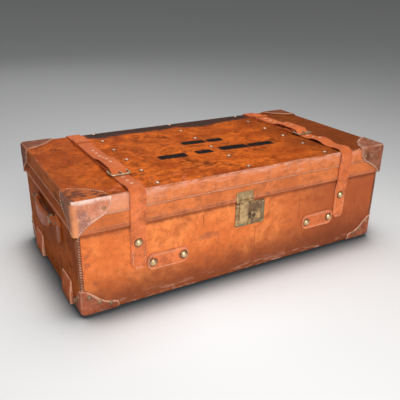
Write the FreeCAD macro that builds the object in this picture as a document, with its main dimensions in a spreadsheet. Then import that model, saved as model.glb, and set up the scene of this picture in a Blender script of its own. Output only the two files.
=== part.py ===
import FreeCAD, Part
import os
import re
from math import atan2, cos, pi, sin, sqrt
from types import SimpleNamespace
from FreeCAD import Placement, Rotation, Vector

# A leather travelling trunk: a boarded box covered in leather, with an overlapping hinged lid.
# X runs along the trunk, Y from front to back and Z up; the origin is on the floor below its centre.

doc = FreeCAD.newDocument("leather_trunk")

# Driving dimensions in millimetres.
SIZES = {
    # Lid and base, measured outside.
    "lid_length": 900,
    "lid_depth": 470,
    "height": 290,
    "skirt_depth": 80,
    "lid_overhang": 5,
    "lid_clearance": 1.2,
    "lid_seat_gap": 0.3,
    "rim_height": 28,
    "edge_round": 6,
    # Thickness of the materials.
    "leather": 4,
    "top_leather": 4,
    "band_leather": 1.4,
    "board": 8,
    "lining": 1.5,
    "cap_leather": 3,
    "strap_leather": 3.6,
    # Depth to which the top leather is turned down over the skirts.
    "band_depth": 43,
    # Runners under the bottom and the leather blocks on their ends.
    "runner_width": 70,
    "runner_height": 8,
    "runner_inset": 100,
    "runner_cap_height": 66,
    "runner_cap_foot": 8.5,
    "runner_cap_head": 5,
    "runner_cap_lift": 0.5,
    # Corner caps.
    "lid_cap_length": 91,
    "lid_cap_top": 80,
    "bottom_cap_length": 88,
    "bottom_cap_end": 60,
    "bottom_cap_height": 72,
    "bottom_cap_foot": 5,
    "bottom_cap_under": 50,
    # Battens in the lid and the rows of studs that clench them.
    "batten_width": 45,
    "batten_thickness": 8,
    "batten_inset": 58,
    "batten_margin": 4,
    "stud_front_margin": 20,
    "stud_back_margin": 90,
    "stud_last_margin": 13.5,
    "stud_head": 6.5,
    "stud_dome": 2.6,
    "stud_shank": 1.3,
    # Dome rivets on the straps and tabs.
    "dome_rim": 10.8,
    "dome_washer": 1.2,
    "dome_head": 8.6,
    "dome_height": 6.8,
    "dome_shank": 2.5,
    # Straps.
    "strap_width": 38,
    "strap_inset": 145,
    "strap_gap": 0.3,
    "strap_tail_drop": 115,
    "strap_rivet_drop": 48,
    "strap_leave_drop": 30,
    "strap_join_rise": 5,
    "strap_fold_drop": 5,
    "strap_split_inset": 159,
    "strap_tip_margin": 45,
    "strap_end_round": 15,
    "rear_tail_drop": 92,
    "rear_strap_break": 1.2,
    "strap_hole": 2.4,
    "strap_hole_pitch": 26,
    # Buckles.
    "left_buckle_inset": 107,
    "right_buckle_inset": 185,
    "buckle_width": 50,
    "buckle_length": 38.5,
    "buckle_wire": 2.25,
    "buckle_corner": 3.6,
    "buckle_slack": 0.6,
    "tongue_rod": 1.9,
    "tongue_eye": 4.4,
    "tongue_width": 4,
    "tongue_overhang": 4,
    "turn_back": 45,
    "billet_ride": 50,
    "billet_land": 120,
    "hump_height": 6.7,
    "keeper_length": 14,
    "keeper_leather": 3,
    "left_keeper_margin": 105,
    "right_keeper_margin": 85,
    # Tabs on the front.
    "tab_gap": 2,
    "tab_length": 108,
    "tab_height": 42,
    "tab_rise": 7,
    "tab_round": 15,
    "tab_rivet_inset": 14,
    # Lock and hasp.
    "lock_width": 88,
    "lock_height": 64,
    "lock_drop": 40,
    "lock_plate": 2,
    "lock_corner": 5,
    "case_width": 76,
    "case_height": 52,
    "case_wall": 2,
    "nozzle_x": 8,
    "nozzle_drop": 4,
    "nozzle_flange": 14,
    "nozzle_flange_thickness": 1,
    "nozzle_knob": 9.5,
    "nozzle_height": 4.6,
    "nozzle_shank": 3.6,
    "nozzle_travel": 10,
    "nozzle_clearance": 0.4,
    "keyhole_round": 2.4,
    "keyhole_slit": 2,
    "keyhole_depth": 3,
    "bolt_length": 30,
    "bolt_height": 12,
    "bolt_thickness": 3,
    "hasp_left": 45,
    "hasp_width": 50,
    "hasp_height": 24,
    "hasp_plate": 1.6,
    "hasp_corner": 7,
    "hasp_knuckle": 2.8,
    "hasp_drop": 1.2,
    "hasp_pin": 1.2,
    "hasp_tongue_width": 25.4,
    "hasp_tongue_length": 58.8,
    "hasp_tongue_thickness": 2,
    "hasp_nib_width": 8,
    "hasp_nib_height": 6,
    "hasp_nib_depth": 1.6,
    "hasp_nib_lift": 10,
    # Handles on the ends.
    "handle_drop": 20,
    "handle_stand_off": 10,
    "handle_bow": 8,
    "handle_sag": 20,
    "handle_span": 164,
    "handle_eye": 8,
    "handle_eye_length": 20,
    "handle_grip_height": 42,
    "handle_grip_thickness": 9,
    "handle_end_height": 18,
    "handle_pin": 3,
    "chape_width": 32,
    "chape_length": 60,
    "chape_rise": 14,
    "chape_round": 26,
    "chape_pad": 6,
    "chape_edge": 3.5,
    "chape_neck_inset": 9,
    "chape_leather": 4,
    # Hinges on the back.
    "hinge_inset": 115,
    "hinge_width": 60,
    "hinge_knuckle": 3.6,
    "hinge_reach": 3,
    "hinge_leaf": 1.8,
    "hinge_leaf_height": 34,
    "hinge_pin": 1.8,
    # Running and side play of every pin and moving piece.
    "pin_clearance": 0.06,
    "side_play": 0.4,
}

sheet = doc.addObject("Spreadsheet::Sheet", "Sizes")
for row, (alias, number) in enumerate(SIZES.items(), start=1):
    sheet.set(f"A{row}", alias)
    sheet.set(f"B{row}", str(number))
    sheet.setAlias(f"B{row}", alias)
doc.recompute()

# Planes that several pieces share, each worked out from the driving dimensions.
PLANES = {
    "lid_x": "lid_length / 2",
    "lid_y": "lid_depth / 2",
    "edge_z": "height - skirt_depth",
    "rim_z": "edge_z + rim_height",
    "base_x": "lid_x - lid_overhang",
    "base_y": "lid_y - lid_overhang",
    "board_x": "base_x - leather",
    "board_y": "base_y - leather",
    "inner_x": "board_x - board",
    "inner_y": "board_y - board",
    "bottom_z": "runner_height",
    "floor_z": "runner_height + leather + board",
    "skirt_x": "lid_x - band_leather",
    "skirt_y": "lid_y - band_leather",
    "lid_inner_x": "base_x + lid_clearance",
    "lid_inner_y": "base_y + lid_clearance",
    "rail_z": "rim_z + lid_seat_gap",
    "roof_z": "height - top_leather",
    "ceiling_z": "height - top_leather - board",
    "batten_z": "ceiling_z - lining - batten_thickness",
    "runner_offset": "base_y - runner_inset",
    "strap_offset": "lid_x - strap_inset",
    "batten_spacing": "strap_offset - batten_inset",
    "hinge_spacing": "strap_offset - hinge_inset",
    "stud_pitch": "(lid_depth - stud_front_margin - stud_back_margin) / 4",
    "tab_inner": "strap_offset - strap_width / 2 - tab_gap - tab_length",
    "left_buckle": "lid_y - left_buckle_inset",
    "right_buckle": "lid_y - right_buckle_inset",
    "left_keeper": "lid_y - left_keeper_margin",
    "right_keeper": "lid_y - right_keeper_margin",
    "strap_split": "lid_y - strap_split_inset",
    "strap_tip": "lid_y - strap_tip_margin",
    "strap_tail_z": "edge_z - strap_tail_drop",
    "tab_z": "strap_tail_z + tab_rise",
    "rear_tail_z": "edge_z - rear_tail_drop",
    "strap_rivet_z": "edge_z - strap_rivet_drop",
    "strap_leave_z": "edge_z - strap_leave_drop",
    "strap_join_z": "edge_z + strap_join_rise",
    "strap_fold_z": "edge_z - strap_fold_drop",
    "strap_face": "base_y + strap_leather",
    "billet_z": "height + strap_gap",
    "bar_z": "height + 2 * strap_gap + strap_leather + buckle_wire",
    "ride_z": "bar_z + buckle_wire + buckle_slack + strap_leather + strap_gap",
    "rear_top_z": "height + strap_leather",
    "land_z": "height + strap_leather + strap_gap",
    "plate_face": "base_y + lock_plate",
    "lock_z": "edge_z - lock_drop",
    "nozzle_z": "lock_z - nozzle_drop",
    "hasp_axis_y": "skirt_y + hasp_plate + 1",
    "hasp_axis_z": "edge_z - hasp_drop",
    "hasp_tongue_foot": "hasp_axis_z - hasp_tongue_length",
    "hinge_y": "lid_y + hinge_reach",
    "handle_x": "base_x + handle_stand_off",
    "handle_z": "edge_z - handle_drop",
    "chape_foot_z": "handle_z - chape_length",
}

ALL_NAMES = {**{name: "Sizes" for name in SIZES}, **{name: "Planes" for name in PLANES}}


def formula(text):
    """Turn a formula in plain names into one that reads the sheet and the shared planes."""
    return re.sub(r"[a-z]\w+", lambda word: f"{ALL_NAMES[word.group()]}.{word.group()}", text)


planes = doc.addObject("App::FeaturePython", "Planes")
for name, text in PLANES.items():
    planes.addProperty("App::PropertyFloat", name, "Planes")
    planes.setExpression(name, formula(text))
doc.recompute()

at = SimpleNamespace(**{name: float(sheet.get(name)) for name in SIZES},
                     **{name: float(getattr(planes, name)) for name in PLANES})
nodes = {}


def node(label, piece):
    """Give a finished piece the label that names it in the assembly."""
    piece.Label = label
    nodes[label] = piece
    return piece


def block(name, x, y, z):
    """A board or sheet between two planes along each axis, given as formulas."""
    box = doc.addObject("Part::Box", name)
    for side, axis, (low, high) in (("Length", "x", x), ("Width", "y", y), ("Height", "z", z)):
        box.setExpression(side, formula(f"({high}) - ({low})"))
        box.setExpression(f"Placement.Base.{axis}", formula(low))
    return box


def rod(name, radius, length, start, axis):
    """A round bar from a start point, given as formulas, along X, Y or Z."""
    turn = {"x": Rotation(Vector(0, 1, 0), 90), "y": Rotation(Vector(1, 0, 0), -90), "z": Rotation()}
    bar = doc.addObject("Part::Cylinder", name)
    bar.Placement = Placement(Vector(), turn[axis])
    bar.setExpression("Radius", formula(radius))
    bar.setExpression("Height", formula(length))
    for letter, text in zip("xyz", start):
        bar.setExpression(f"Placement.Base.{letter}", formula(text))
    return bar


def cut(name, base, *tools):
    """The base with every tool taken out of it."""
    for index, tool in enumerate(tools):
        piece = doc.addObject("Part::Cut", f"{name}_{index}")
        piece.Base = base
        piece.Tool = tool
        base = piece
    return base


def fuse(name, *shapes):
    """Several shapes of one piece, joined."""
    piece = doc.addObject("Part::MultiFuse", name)
    piece.Shapes = list(shapes)
    return piece


def group(name, *pieces):
    """Like pieces that share a node as separate solids."""
    piece = doc.addObject("Part::Compound", name)
    piece.Links = list(pieces)
    return piece


def mirror(name, source, normal):
    """The source seen in the plane through the trunk's centre with this normal."""
    piece = doc.addObject("Part::Mirroring", name)
    piece.Source = source
    piece.Normal = Vector(*normal)
    return piece


def rounded(name, base, radius, wanted):
    """The base with the edges that the test picks rounded to the radius."""
    doc.recompute()
    picked = [i for i, edge in enumerate(base.Shape.Edges, start=1) if wanted(edge)]
    piece = doc.addObject("Part::Fillet", name)
    piece.Base = base
    piece.Edges = [(i, radius, radius) for i in picked]
    return piece


def shaped(name, shape):
    """A piece whose form is drawn from curves."""
    piece = doc.addObject("Part::Feature", name)
    piece.Shape = shape
    return piece


def runs_along(edge, axis):
    """Whether a straight edge lies along an axis."""
    return abs(edge.tangentAt(edge.FirstParameter).dot(Vector(*axis))) > 0.999


X_AXIS = (1, 0, 0)
Y_AXIS = (0, 1, 0)
Z_AXIS = (0, 0, 1)


def span(half):
    """A pair of formulas that reach equally far to both sides of the centre."""
    return (f"-({half})", half)


# Base: boards

lock_case_x = span("case_width / 2")
lock_case_z = ("lock_z - case_height / 2", "lock_z + case_height / 2")
front_board = block("front_board", span("board_x"), ("-board_y", "-inner_y"), ("floor_z", "rim_z"))
case_pocket = block("case_pocket", lock_case_x, ("-board_y", "-inner_y"), lock_case_z)
rear_board = block("rear_board", span("board_x"), ("inner_y", "board_y"), ("floor_z", "rim_z"))
node("base_side_boards", group("side_boards", cut("front_board_cut", front_board, case_pocket), rear_board))
left_board = block("left_board", ("-board_x", "-inner_x"), span("inner_y"), ("floor_z", "rim_z"))
node("base_end_boards", group("end_boards", left_board, mirror("right_board", left_board, X_AXIS)))
node("base_bottom_board",
     block("bottom_board", span("board_x"), span("board_y"), ("bottom_z + leather", "floor_z")))

# Base: leather panels and lining

nozzle_slot = block("nozzle_slot",
                    ("nozzle_x - nozzle_shank - nozzle_clearance",
                     "nozzle_x + nozzle_travel + nozzle_shank + nozzle_clearance"),
                    ("-plate_face", "-board_y"),
                    ("nozzle_z - nozzle_shank - nozzle_clearance",
                     "nozzle_z + nozzle_shank + nozzle_clearance"))
front_sheet = block("front_sheet", span("base_x"), ("-base_y", "-board_y"), ("bottom_z", "rim_z"))
node("base_front_leather", cut("front_leather", front_sheet, nozzle_slot))
node("base_rear_leather", block("rear_leather", span("base_x"), ("board_y", "base_y"), ("bottom_z", "rim_z")))
left_leather = block("left_leather", ("-base_x", "-board_x"), span("board_y"), ("bottom_z", "rim_z"))
node("base_end_leathers", group("end_leathers", left_leather, mirror("right_leather", left_leather, X_AXIS)))
node("base_bottom_leather",
     block("bottom_leather", span("board_x"), span("board_y"), ("bottom_z", "bottom_z + leather")))
lining_outside = block("lining_outside", span("inner_x"), span("inner_y"), ("floor_z", "rim_z"))
lining_inside = block("lining_inside", span("inner_x - lining"), span("inner_y - lining"),
                      ("floor_z + lining", "rim_z"))
node("base_lining", cut("base_lining_cut", lining_outside, lining_inside))

# Base: runners and the leather blocks on their ends

front_runner = block("front_runner", span("base_x"),
                     ("-runner_offset - runner_width / 2", "-runner_offset + runner_width / 2"),
                     ("0", "runner_height"))
node("runners", group("runner_pair", front_runner, mirror("rear_runner", front_runner, Y_AXIS)))


def runner_cap():
    """A leather block that thins towards its rounded head, on the front runner's left end."""
    foot = -at.base_x - at.runner_cap_foot
    head = -at.base_x - at.runner_cap_head
    shoulder = at.runner_cap_height - at.runner_cap_foot
    corners = [Vector(-at.base_x, 0, at.runner_cap_lift), Vector(foot, 0, at.runner_cap_lift),
               Vector(foot, 0, shoulder / 2), Vector(head, 0, shoulder)]
    top = Vector(-at.base_x, 0, at.runner_cap_height)
    middle = Vector(head + at.runner_cap_head * (1 - cos(pi / 4)), 0,
                    shoulder + (at.runner_cap_height - shoulder) * sin(pi / 4))
    edges = [Part.LineSegment(a, b).toShape() for a, b in zip(corners, corners[1:])]
    edges.append(Part.Arc(corners[-1], middle, top).toShape())
    edges.append(Part.LineSegment(top, corners[0]).toShape())
    profile = Part.Face(Part.Wire(edges))
    profile.translate(Vector(0, -at.runner_offset - at.runner_width / 2, 0))
    return profile.extrude(Vector(0, at.runner_width, 0))


def in_every_corner(name, master):
    """A piece of the front left corner with its three mirror images, keyed by corner."""
    right = mirror(f"{name}_front_right", master, X_AXIS)
    rear = mirror(f"{name}_rear_left", master, Y_AXIS)
    return {"front_left": master, "front_right": right, "rear_left": rear,
            "rear_right": mirror(f"{name}_rear_right", right, Y_AXIS)}


runner_caps = in_every_corner("runner_cap", shaped("runner_cap_front_left", runner_cap()))
node("runner_caps", group("runner_cap_set", *runner_caps.values()))

# Corner caps: three flaps moulded over a corner, with curved free edges


def flap_cutter(outline, far, plane, depth):
    """The waste beyond a flap's curved free edge, as deep as the flap is thick."""
    points = [plane(a, b) for a, b in outline]
    curve = Part.BSplineCurve()
    curve.interpolate(points)
    loop = points[-1:] + [plane(a, b) for a, b in far] + points[:1]
    sides = [Part.LineSegment(a, b).toShape() for a, b in zip(loop, loop[1:])]
    return Part.Face(Part.Wire(Part.__sortEdges__([curve.toShape()] + sides))).extrude(depth)


def moulded_corner(outer, inner, corner):
    """A leather corner: a box with the edges at its outer corner rounded, hollowed by the trunk's own."""
    solid = Part.makeBox(*outer[1], outer[0])
    edges = [edge for edge in solid.Edges
             if any((vertex.Point - corner).Length < 0.01 for vertex in edge.Vertexes)]
    return solid.makeFillet(at.edge_round, edges).cut(Part.makeBox(*inner[1], inner[0]))


def lid_cap():
    """The lid's front left cap: a lobed flap on the front and the end, a rounded one on top."""
    t = at.cap_leather
    length = at.lid_cap_length
    left = -at.lid_x - t
    front = -at.lid_y - t
    top = at.height + t
    tall = top - at.edge_z
    deep = 2 * t
    shell = moulded_corner((Vector(left, front, at.edge_z), (length, length, tall)),
                           (Vector(-at.lid_x, -at.lid_y, at.edge_z - t), (length, length, tall)),
                           Vector(left, front, top))
    ogee = [(0.14 * length, tall + t), (0.2 * length, 0.89 * tall), (0.56 * length, 0.65 * tall),
            (0.78 * length, 0.52 * tall), (0.93 * length, 0.34 * tall), (0.97 * length, -t)]
    ogee_far = [(length + t, -t), (length + t, tall + t)]
    deck = at.lid_cap_top
    crown = [(0.97 * length, -t), (0.9 * length, 0.3 * deck), (0.62 * length, 0.66 * deck),
             (0.25 * length, 0.95 * deck), (-t, deck)]
    crown_far = [(-t, length + t), (length + t, length + t), (length + t, -t)]
    waste = [flap_cutter(ogee, ogee_far, lambda a, b: Vector(left + a, front - t, top - b),
                         Vector(0, deep, 0)),
             flap_cutter(ogee, ogee_far, lambda a, b: Vector(left - t, front + a, top - b),
                         Vector(deep, 0, 0)),
             flap_cutter(crown, crown_far, lambda a, b: Vector(left + a, front + b, at.height),
                         Vector(0, 0, deep))]
    return shell.cut(waste)


def bottom_cap():
    """The base's front left cap: a swept flap on the front and a shorter one on the end, turned under."""
    t = at.cap_leather
    left = -at.base_x - t
    front = -at.base_y - t
    foot = at.bottom_z - at.bottom_cap_foot
    tall = at.bottom_cap_height - foot
    deep = 2 * t
    shell = moulded_corner((Vector(left, front, foot), (at.bottom_cap_length, at.bottom_cap_end, tall)),
                           (Vector(-at.base_x, -at.base_y, at.bottom_z), (at.bottom_cap_length,) * 3),
                           Vector(left, front, foot))

    def sweep(length):
        return ([(-t, tall), (0.16 * length, 0.97 * tall), (0.34 * length, 0.78 * tall),
                 (0.55 * length, 0.53 * tall), (0.75 * length, 0.39 * tall), (length + t, 0.32 * tall)],
                [(length + t, tall + t), (-t, tall + t)])
    under = at.bottom_cap_under
    heel = [(under, -t), (0.8 * under, 0.45 * under), (0.45 * under, 0.8 * under), (-t, under)]
    reach = at.bottom_cap_length + t
    waste = [flap_cutter(*sweep(at.bottom_cap_length), lambda a, b: Vector(left + a, front - t, foot + b),
                         Vector(0, deep, 0)),
             flap_cutter(*sweep(at.bottom_cap_end), lambda a, b: Vector(left - t, front + a, foot + b),
                         Vector(deep, 0, 0)),
             flap_cutter(heel, [(-t, reach), (reach, reach), (reach, -t)],
                         lambda a, b: Vector(left + t + a, front + t + b, foot - t),
                         Vector(0, 0, at.bottom_cap_foot + t))]
    return shell.cut(waste)


for corner, cap in in_every_corner("lid_cap", shaped("lid_cap_front_left", lid_cap())).items():
    node(f"lid_cap_{corner}", cap)
for corner, cap in in_every_corner("bottom_cap", shaped("bottom_cap_front_left", bottom_cap())).items():
    node(f"bottom_cap_{corner}", cap)

# Rivets and studs: a turned head on a driven shank


def fastener(point, outward, head, dome, shank, length, washer=(0, 0)):
    """A domed head, with a washer where it has one, on a shank that goes in from the point."""
    rim, lift = washer
    ball = (head * head + dome * dome) / (2 * dome)
    reach = atan2(head, ball - dome)
    corners = [Vector(0, 0, -length), Vector(shank, 0, -length), Vector(shank, 0, 0)]
    if lift:
        corners += [Vector(rim, 0, 0), Vector(rim, 0, lift)]
    for share in (1, 0.72, 0.4, 0):
        corners.append(Vector(ball * sin(share * reach), 0, lift + dome - ball + ball * cos(share * reach)))
    turned = Part.Face(Part.makePolygon(corners + corners[:1])).revolve(Vector(), Vector(0, 0, 1), 360)
    turned.Placement = Placement(Vector(*point), Rotation(Vector(0, 0, 1), Vector(*outward)))
    return turned


FRONT = (0, -1, 0)
BACK = (0, 1, 0)
UP = (0, 0, 1)


def dome_rivet(x, z, outward):
    """A large washered rivet through a strap or tab, the leather and the board."""
    return fastener((x, outward[1] * at.strap_face, z), outward, at.dome_head, at.dome_height, at.dome_shank,
                    at.strap_leather + at.leather + at.board, (at.dome_rim, at.dome_washer))


dome_rivets = []
for side in (-1, 1):
    dome_rivets.append(dome_rivet(side * at.strap_offset, at.strap_rivet_z, FRONT))
    dome_rivets.append(dome_rivet(side * at.strap_offset, at.strap_rivet_z, BACK))
    for inset in (at.tab_rivet_inset, at.tab_length - at.tab_rivet_inset):
        dome_rivets.append(dome_rivet(side * (at.tab_inner + inset), at.tab_z, FRONT))
node("dome_rivets", shaped("dome_rivet_set", Part.makeCompound(dome_rivets)))

stud_depth = at.top_leather + at.board + at.lining + at.batten_thickness / 2
stud_rows = [-at.batten_spacing, 0, at.batten_spacing]
stud_places = [-at.lid_y + at.stud_front_margin + at.stud_pitch * step for step in range(5)]
studs = [fastener((x, y, at.height), UP, at.stud_head, at.stud_dome, at.stud_shank, stud_depth)
         for x in stud_rows for y in stud_places + [at.lid_y - at.stud_last_margin]]
node("lid_studs", shaped("lid_stud_set", Part.makeCompound(studs)))

# Lid: leather, boards, battens and lining

top_outside = block("top_outside", span("lid_x"), span("lid_y"), ("height - band_depth", "height"))
top_round = rounded("top_round", top_outside, at.edge_round,
                    lambda edge: runs_along(edge, Z_AXIS) or edge.CenterOfMass.z > at.height - 0.01)
top_inside = block("top_inside", span("skirt_x"), span("skirt_y"), ("height - band_depth", "roof_z"))
node("lid_top_leather", cut("top_leather", top_round, top_inside))
skirt_z = ("edge_z", "roof_z")
node("lid_front_skirt", block("front_skirt", span("skirt_x"), ("-skirt_y", "-lid_inner_y"), skirt_z))
node("lid_rear_skirt", block("rear_skirt", span("skirt_x"), ("lid_inner_y", "skirt_y"), skirt_z))
left_skirt = block("left_skirt", ("-skirt_x", "-lid_inner_x"), span("lid_inner_y"), skirt_z)
node("lid_end_skirts", group("end_skirts", left_skirt, mirror("right_skirt", left_skirt, X_AXIS)))
node("lid_top_board", block("top_board", span("lid_inner_x"), span("lid_inner_y"), ("ceiling_z", "roof_z")))
rail_z = ("rail_z", "ceiling_z")
front_rail = block("front_rail", span("lid_inner_x"), ("-lid_inner_y", "-lid_inner_y + board"), rail_z)
left_rail = block("left_rail", ("-lid_inner_x", "-lid_inner_x + board"), span("lid_inner_y - board"), rail_z)
node("lid_rails", group("rails", front_rail, mirror("rear_rail", front_rail, Y_AXIS),
                        left_rail, mirror("right_rail", left_rail, X_AXIS)))
ceiling_outside = block("ceiling_outside", span("lid_inner_x - board"), span("lid_inner_y - board"), rail_z)
ceiling_inside = block("ceiling_inside", span("lid_inner_x - board - lining"),
                       span("lid_inner_y - board - lining"), ("rail_z", "ceiling_z - lining"))
node("lid_lining", cut("lid_lining_cut", ceiling_outside, ceiling_inside))
battens = []
for index, place in enumerate(("-batten_spacing", "0", "batten_spacing")):
    battens.append(block(f"batten_{index}", (f"{place} - batten_width / 2", f"{place} + batten_width / 2"),
                         span("lid_inner_y - board - lining - batten_margin"),
                         ("batten_z", "batten_z + batten_thickness")))
node("lid_battens", group("batten_set", *battens))

# Straps: bands of bridle leather drawn in side view and given the strap's width


def side_face(edges):
    """The face inside edges drawn in the plane of a strap's side."""
    return Part.Face(Part.Wire(Part.__sortEdges__(edges)))


def point(y, z):
    """A point in the side view."""
    return Vector(0, y, z)


def lines(*places):
    """Straight edges through points of the side view."""
    return [Part.LineSegment(a, b).toShape() for a, b in zip(places, places[1:])]


def wave(knots):
    """A strap's underside: level runs joined by smooth rises and falls."""
    edges = []
    for (y0, z0), (y1, z1) in zip(knots, knots[1:]):
        if abs(z1 - z0) < 1e-6:
            edges.append(Part.LineSegment(point(y0, z0), point(y1, z1)).toShape())
        else:
            ramp = Part.BezierCurve()
            middle = (y0 + y1) / 2
            ramp.setPoles([point(y0, z0), point(middle, z0), point(middle, z1), point(y1, z1)])
            edges.append(ramp.toShape())
    return edges


def lifted(edges, thickness):
    """A copy of a strap's underside, raised to its upper side."""
    return [edge.translated(Vector(0, 0, thickness)) for edge in edges]


def widened(face, x):
    """A side view given the strap's width about a place along the trunk."""
    return face.translated(Vector(x - at.strap_width / 2, 0, 0)).extrude(Vector(at.strap_width, 0, 0))


def rounded_end(solid, picked):
    """A strap whose end has its corners rounded."""
    return solid.makeFillet(at.strap_end_round, [edge for edge in solid.Edges if picked(edge)])


def strap_anchor(x, facing, tail, top):
    """The strap's end that is riveted to the base: it leaves the panel towards the lid's edge."""
    slope = (at.lid_y + at.strap_gap - at.base_y) / (at.strap_join_z - at.strap_leave_z)
    foot = facing * at.base_y
    head = facing * (at.base_y + slope * (top - at.strap_leave_z))
    step = facing * at.strap_leather
    face = side_face(lines(point(foot, tail), point(foot, at.strap_leave_z), point(head, top),
                           point(head + step, top), point(foot + step, at.strap_leave_z),
                           point(foot + step, tail), point(foot, tail)))
    return rounded_end(widened(face, x),
                       lambda edge: runs_along(edge, Y_AXIS) and edge.CenterOfMass.z < tail + 0.01)


def strap_drop(x):
    """The stretch up the lid's front, from the fold to the middle of the bend over the lid's edge."""
    slope = (at.lid_y + at.strap_gap - at.base_y) / (at.strap_join_z - at.strap_leave_z)
    foot = -at.base_y - slope * (at.strap_fold_z - at.strap_leave_z)
    wall = -at.lid_y - at.strap_gap
    bend = at.edge_round + at.strap_gap
    centre = point(wall + bend, at.billet_z - bend)
    thick = at.strap_leather
    inner = [centre + point(-bend * cos(angle), bend * sin(angle)) for angle in (0, pi / 8, pi / 4)]
    wide = bend + thick
    outer = [centre + point(-wide * cos(angle), wide * sin(angle)) for angle in (0, pi / 8, pi / 4)]
    edges = lines(point(foot, at.strap_fold_z), point(wall, at.strap_join_z), inner[0])
    edges.append(Part.Arc(*inner).toShape())
    edges += lines(inner[2], outer[2])
    edges.append(Part.Arc(*reversed(outer)).toShape())
    edges += lines(outer[0], point(wall - thick, at.strap_join_z), point(foot - thick, at.strap_fold_z),
                   point(foot, at.strap_fold_z))
    return widened(side_face(edges), x)


def billet(x, buckle, humped):
    """The stretch over the lid: under the buckle's bar, over its heel bar and on to the tip."""
    thick = at.strap_leather
    bend = at.edge_round + at.strap_gap
    wall = -at.lid_y - at.strap_gap
    centre = point(wall + bend, at.billet_z - bend)
    angles = (pi / 4, 3 * pi / 8, pi / 2)
    inner = [centre + point(-bend * cos(angle), bend * sin(angle)) for angle in angles]
    outer = [centre + point(-(bend + thick) * cos(angle), (bend + thick) * sin(angle)) for angle in angles]
    heel = buckle + at.buckle_length / 2 - at.buckle_wire
    knots = [(wall + bend, at.billet_z)]
    if humped:
        knots += [(buckle - 3.4 * at.buckle_length, at.billet_z),
                  (buckle - 2.2 * at.buckle_length, at.billet_z + at.hump_height),
                  (buckle - 0.9 * at.buckle_length, at.billet_z)]
    rise = buckle - at.buckle_length / 2 + 3 * at.buckle_wire
    knots += [(rise, at.billet_z), (heel - at.strap_leather, at.ride_z),
              (heel + at.billet_ride, at.ride_z), (heel + at.billet_land, at.land_z),
              (at.strap_tip, at.land_z)]
    under = wave(knots)
    end = point(*knots[-1])
    edges = [Part.Arc(*inner).toShape()] + under + lines(end, end + point(0, thick))
    edges += lifted(under, thick) + [Part.Arc(*outer).toShape()] + lines(inner[0], outer[0])
    solid = widened(side_face(edges), x)
    solid = rounded_end(solid,
                        lambda edge: runs_along(edge, Z_AXIS) and edge.CenterOfMass.y > at.strap_tip - 0.01)
    slot_back = buckle + at.buckle_length / 4
    slot_front = buckle - at.buckle_length / 4
    holes = [Part.makeBox(2 * at.tongue_rod + 2 * at.side_play, slot_back - slot_front, at.height,
                          Vector(x - at.tongue_rod - at.side_play, slot_front, at.height / 2))]
    for step in list(range(-3, 0)) + list(range(2, 8)):
        place = buckle + step * at.strap_hole_pitch
        if place < at.strap_tip - at.strap_end_round:
            holes.append(Part.makeCylinder(at.strap_hole, at.height, Vector(x, place, at.height / 2)))
    return solid.cut(holes)


def rear_strap(x, buckle):
    """The strap from the lid's back edge to the buckle, turned back round the heel bar."""
    thick = at.strap_leather
    bend = at.edge_round
    heel = buckle + at.buckle_length / 2 - at.buckle_wire
    eye = at.buckle_wire + at.buckle_slack
    centre = point(at.lid_y - bend, at.height - bend)
    angles = (0, pi / 4, pi / 2)
    inner = [centre + point(bend * cos(angle), bend * sin(angle)) for angle in angles]
    outer = [centre + point((bend + thick) * cos(angle), (bend + thick) * sin(angle)) for angle in angles]
    foot = at.edge_z + at.rear_strap_break / 2
    edges = lines(inner[0], point(at.lid_y, foot), point(at.lid_y + thick, foot), outer[0])
    edges.append(Part.Arc(*outer).toShape())
    edges.append(Part.Arc(*inner).toShape())
    edges += lines(outer[2], point(heel, at.height + thick), point(heel, at.height), inner[2])
    strap = widened(side_face(edges), x)
    bar = point(heel, at.height + thick + eye)
    bar_end = bar + Vector(x - at.strap_width / 2, 0, 0)
    ring = Part.makeCylinder(eye + thick, at.strap_width, bar_end, Vector(1, 0, 0))
    bore = Part.makeCylinder(eye, at.strap_width, bar_end, Vector(1, 0, 0))
    front_half = Part.makeBox(at.strap_width, eye + thick, 2 * (eye + thick),
                              Vector(x - at.strap_width / 2, heel - eye - thick, at.height))
    back_knots = [(heel, bar.z + eye), (heel + at.turn_back / 2, at.rear_top_z),
                  (heel + at.turn_back, at.rear_top_z)]
    back_under = wave(back_knots)
    back_end = point(heel + at.turn_back, at.rear_top_z)
    back_face = side_face(back_under + lifted(back_under, thick) + lines(back_end, back_end + point(0, thick))
                          + lines(point(heel, bar.z + eye), point(heel, bar.z + eye + thick)))
    slot_front = heel - eye - thick - at.side_play
    slot_back = heel + at.tongue_eye + at.side_play
    eye_slot = Part.makeBox(at.tongue_width + 2 * at.side_play, slot_back - slot_front, at.height,
                            Vector(x - at.tongue_width / 2 - at.side_play, slot_front, at.height / 2))
    whole = strap.fuse([ring.cut(bore).common(front_half), widened(back_face, x)])
    return whole.cut(eye_slot).removeSplitter()


def buckle_frame(x, buckle):
    """A rounded rectangle of brass wire: four straight bars and four bends."""
    half_x = at.buckle_width / 2 - at.buckle_wire
    half_y = at.buckle_length / 2 - at.buckle_wire
    bend = at.buckle_corner
    centre = Vector(x, buckle, at.bar_z)
    pieces = []
    for turn in range(4):
        along, across = (half_x, half_y) if turn % 2 == 0 else (half_y, half_x)
        spin = Rotation(Vector(0, 0, 1), 90 * turn)
        start = centre + spin.multVec(Vector(bend - along, -across, 0))
        aim = spin.multVec(Vector(1, 0, 0))
        pieces.append(Part.makeCylinder(at.buckle_wire, 2 * (along - bend), start, aim))
        elbow = Part.makeTorus(bend, at.buckle_wire, Vector(), Vector(0, 0, 1), -180, 180, 90)
        elbow.Placement = Placement(centre + spin.multVec(Vector(along - bend, bend - across, 0)),
                                    Rotation(Vector(0, 0, 1), 90 * turn - 90))
        pieces.append(elbow)
    return pieces[0].fuse(pieces[1:]).removeSplitter()


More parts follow.
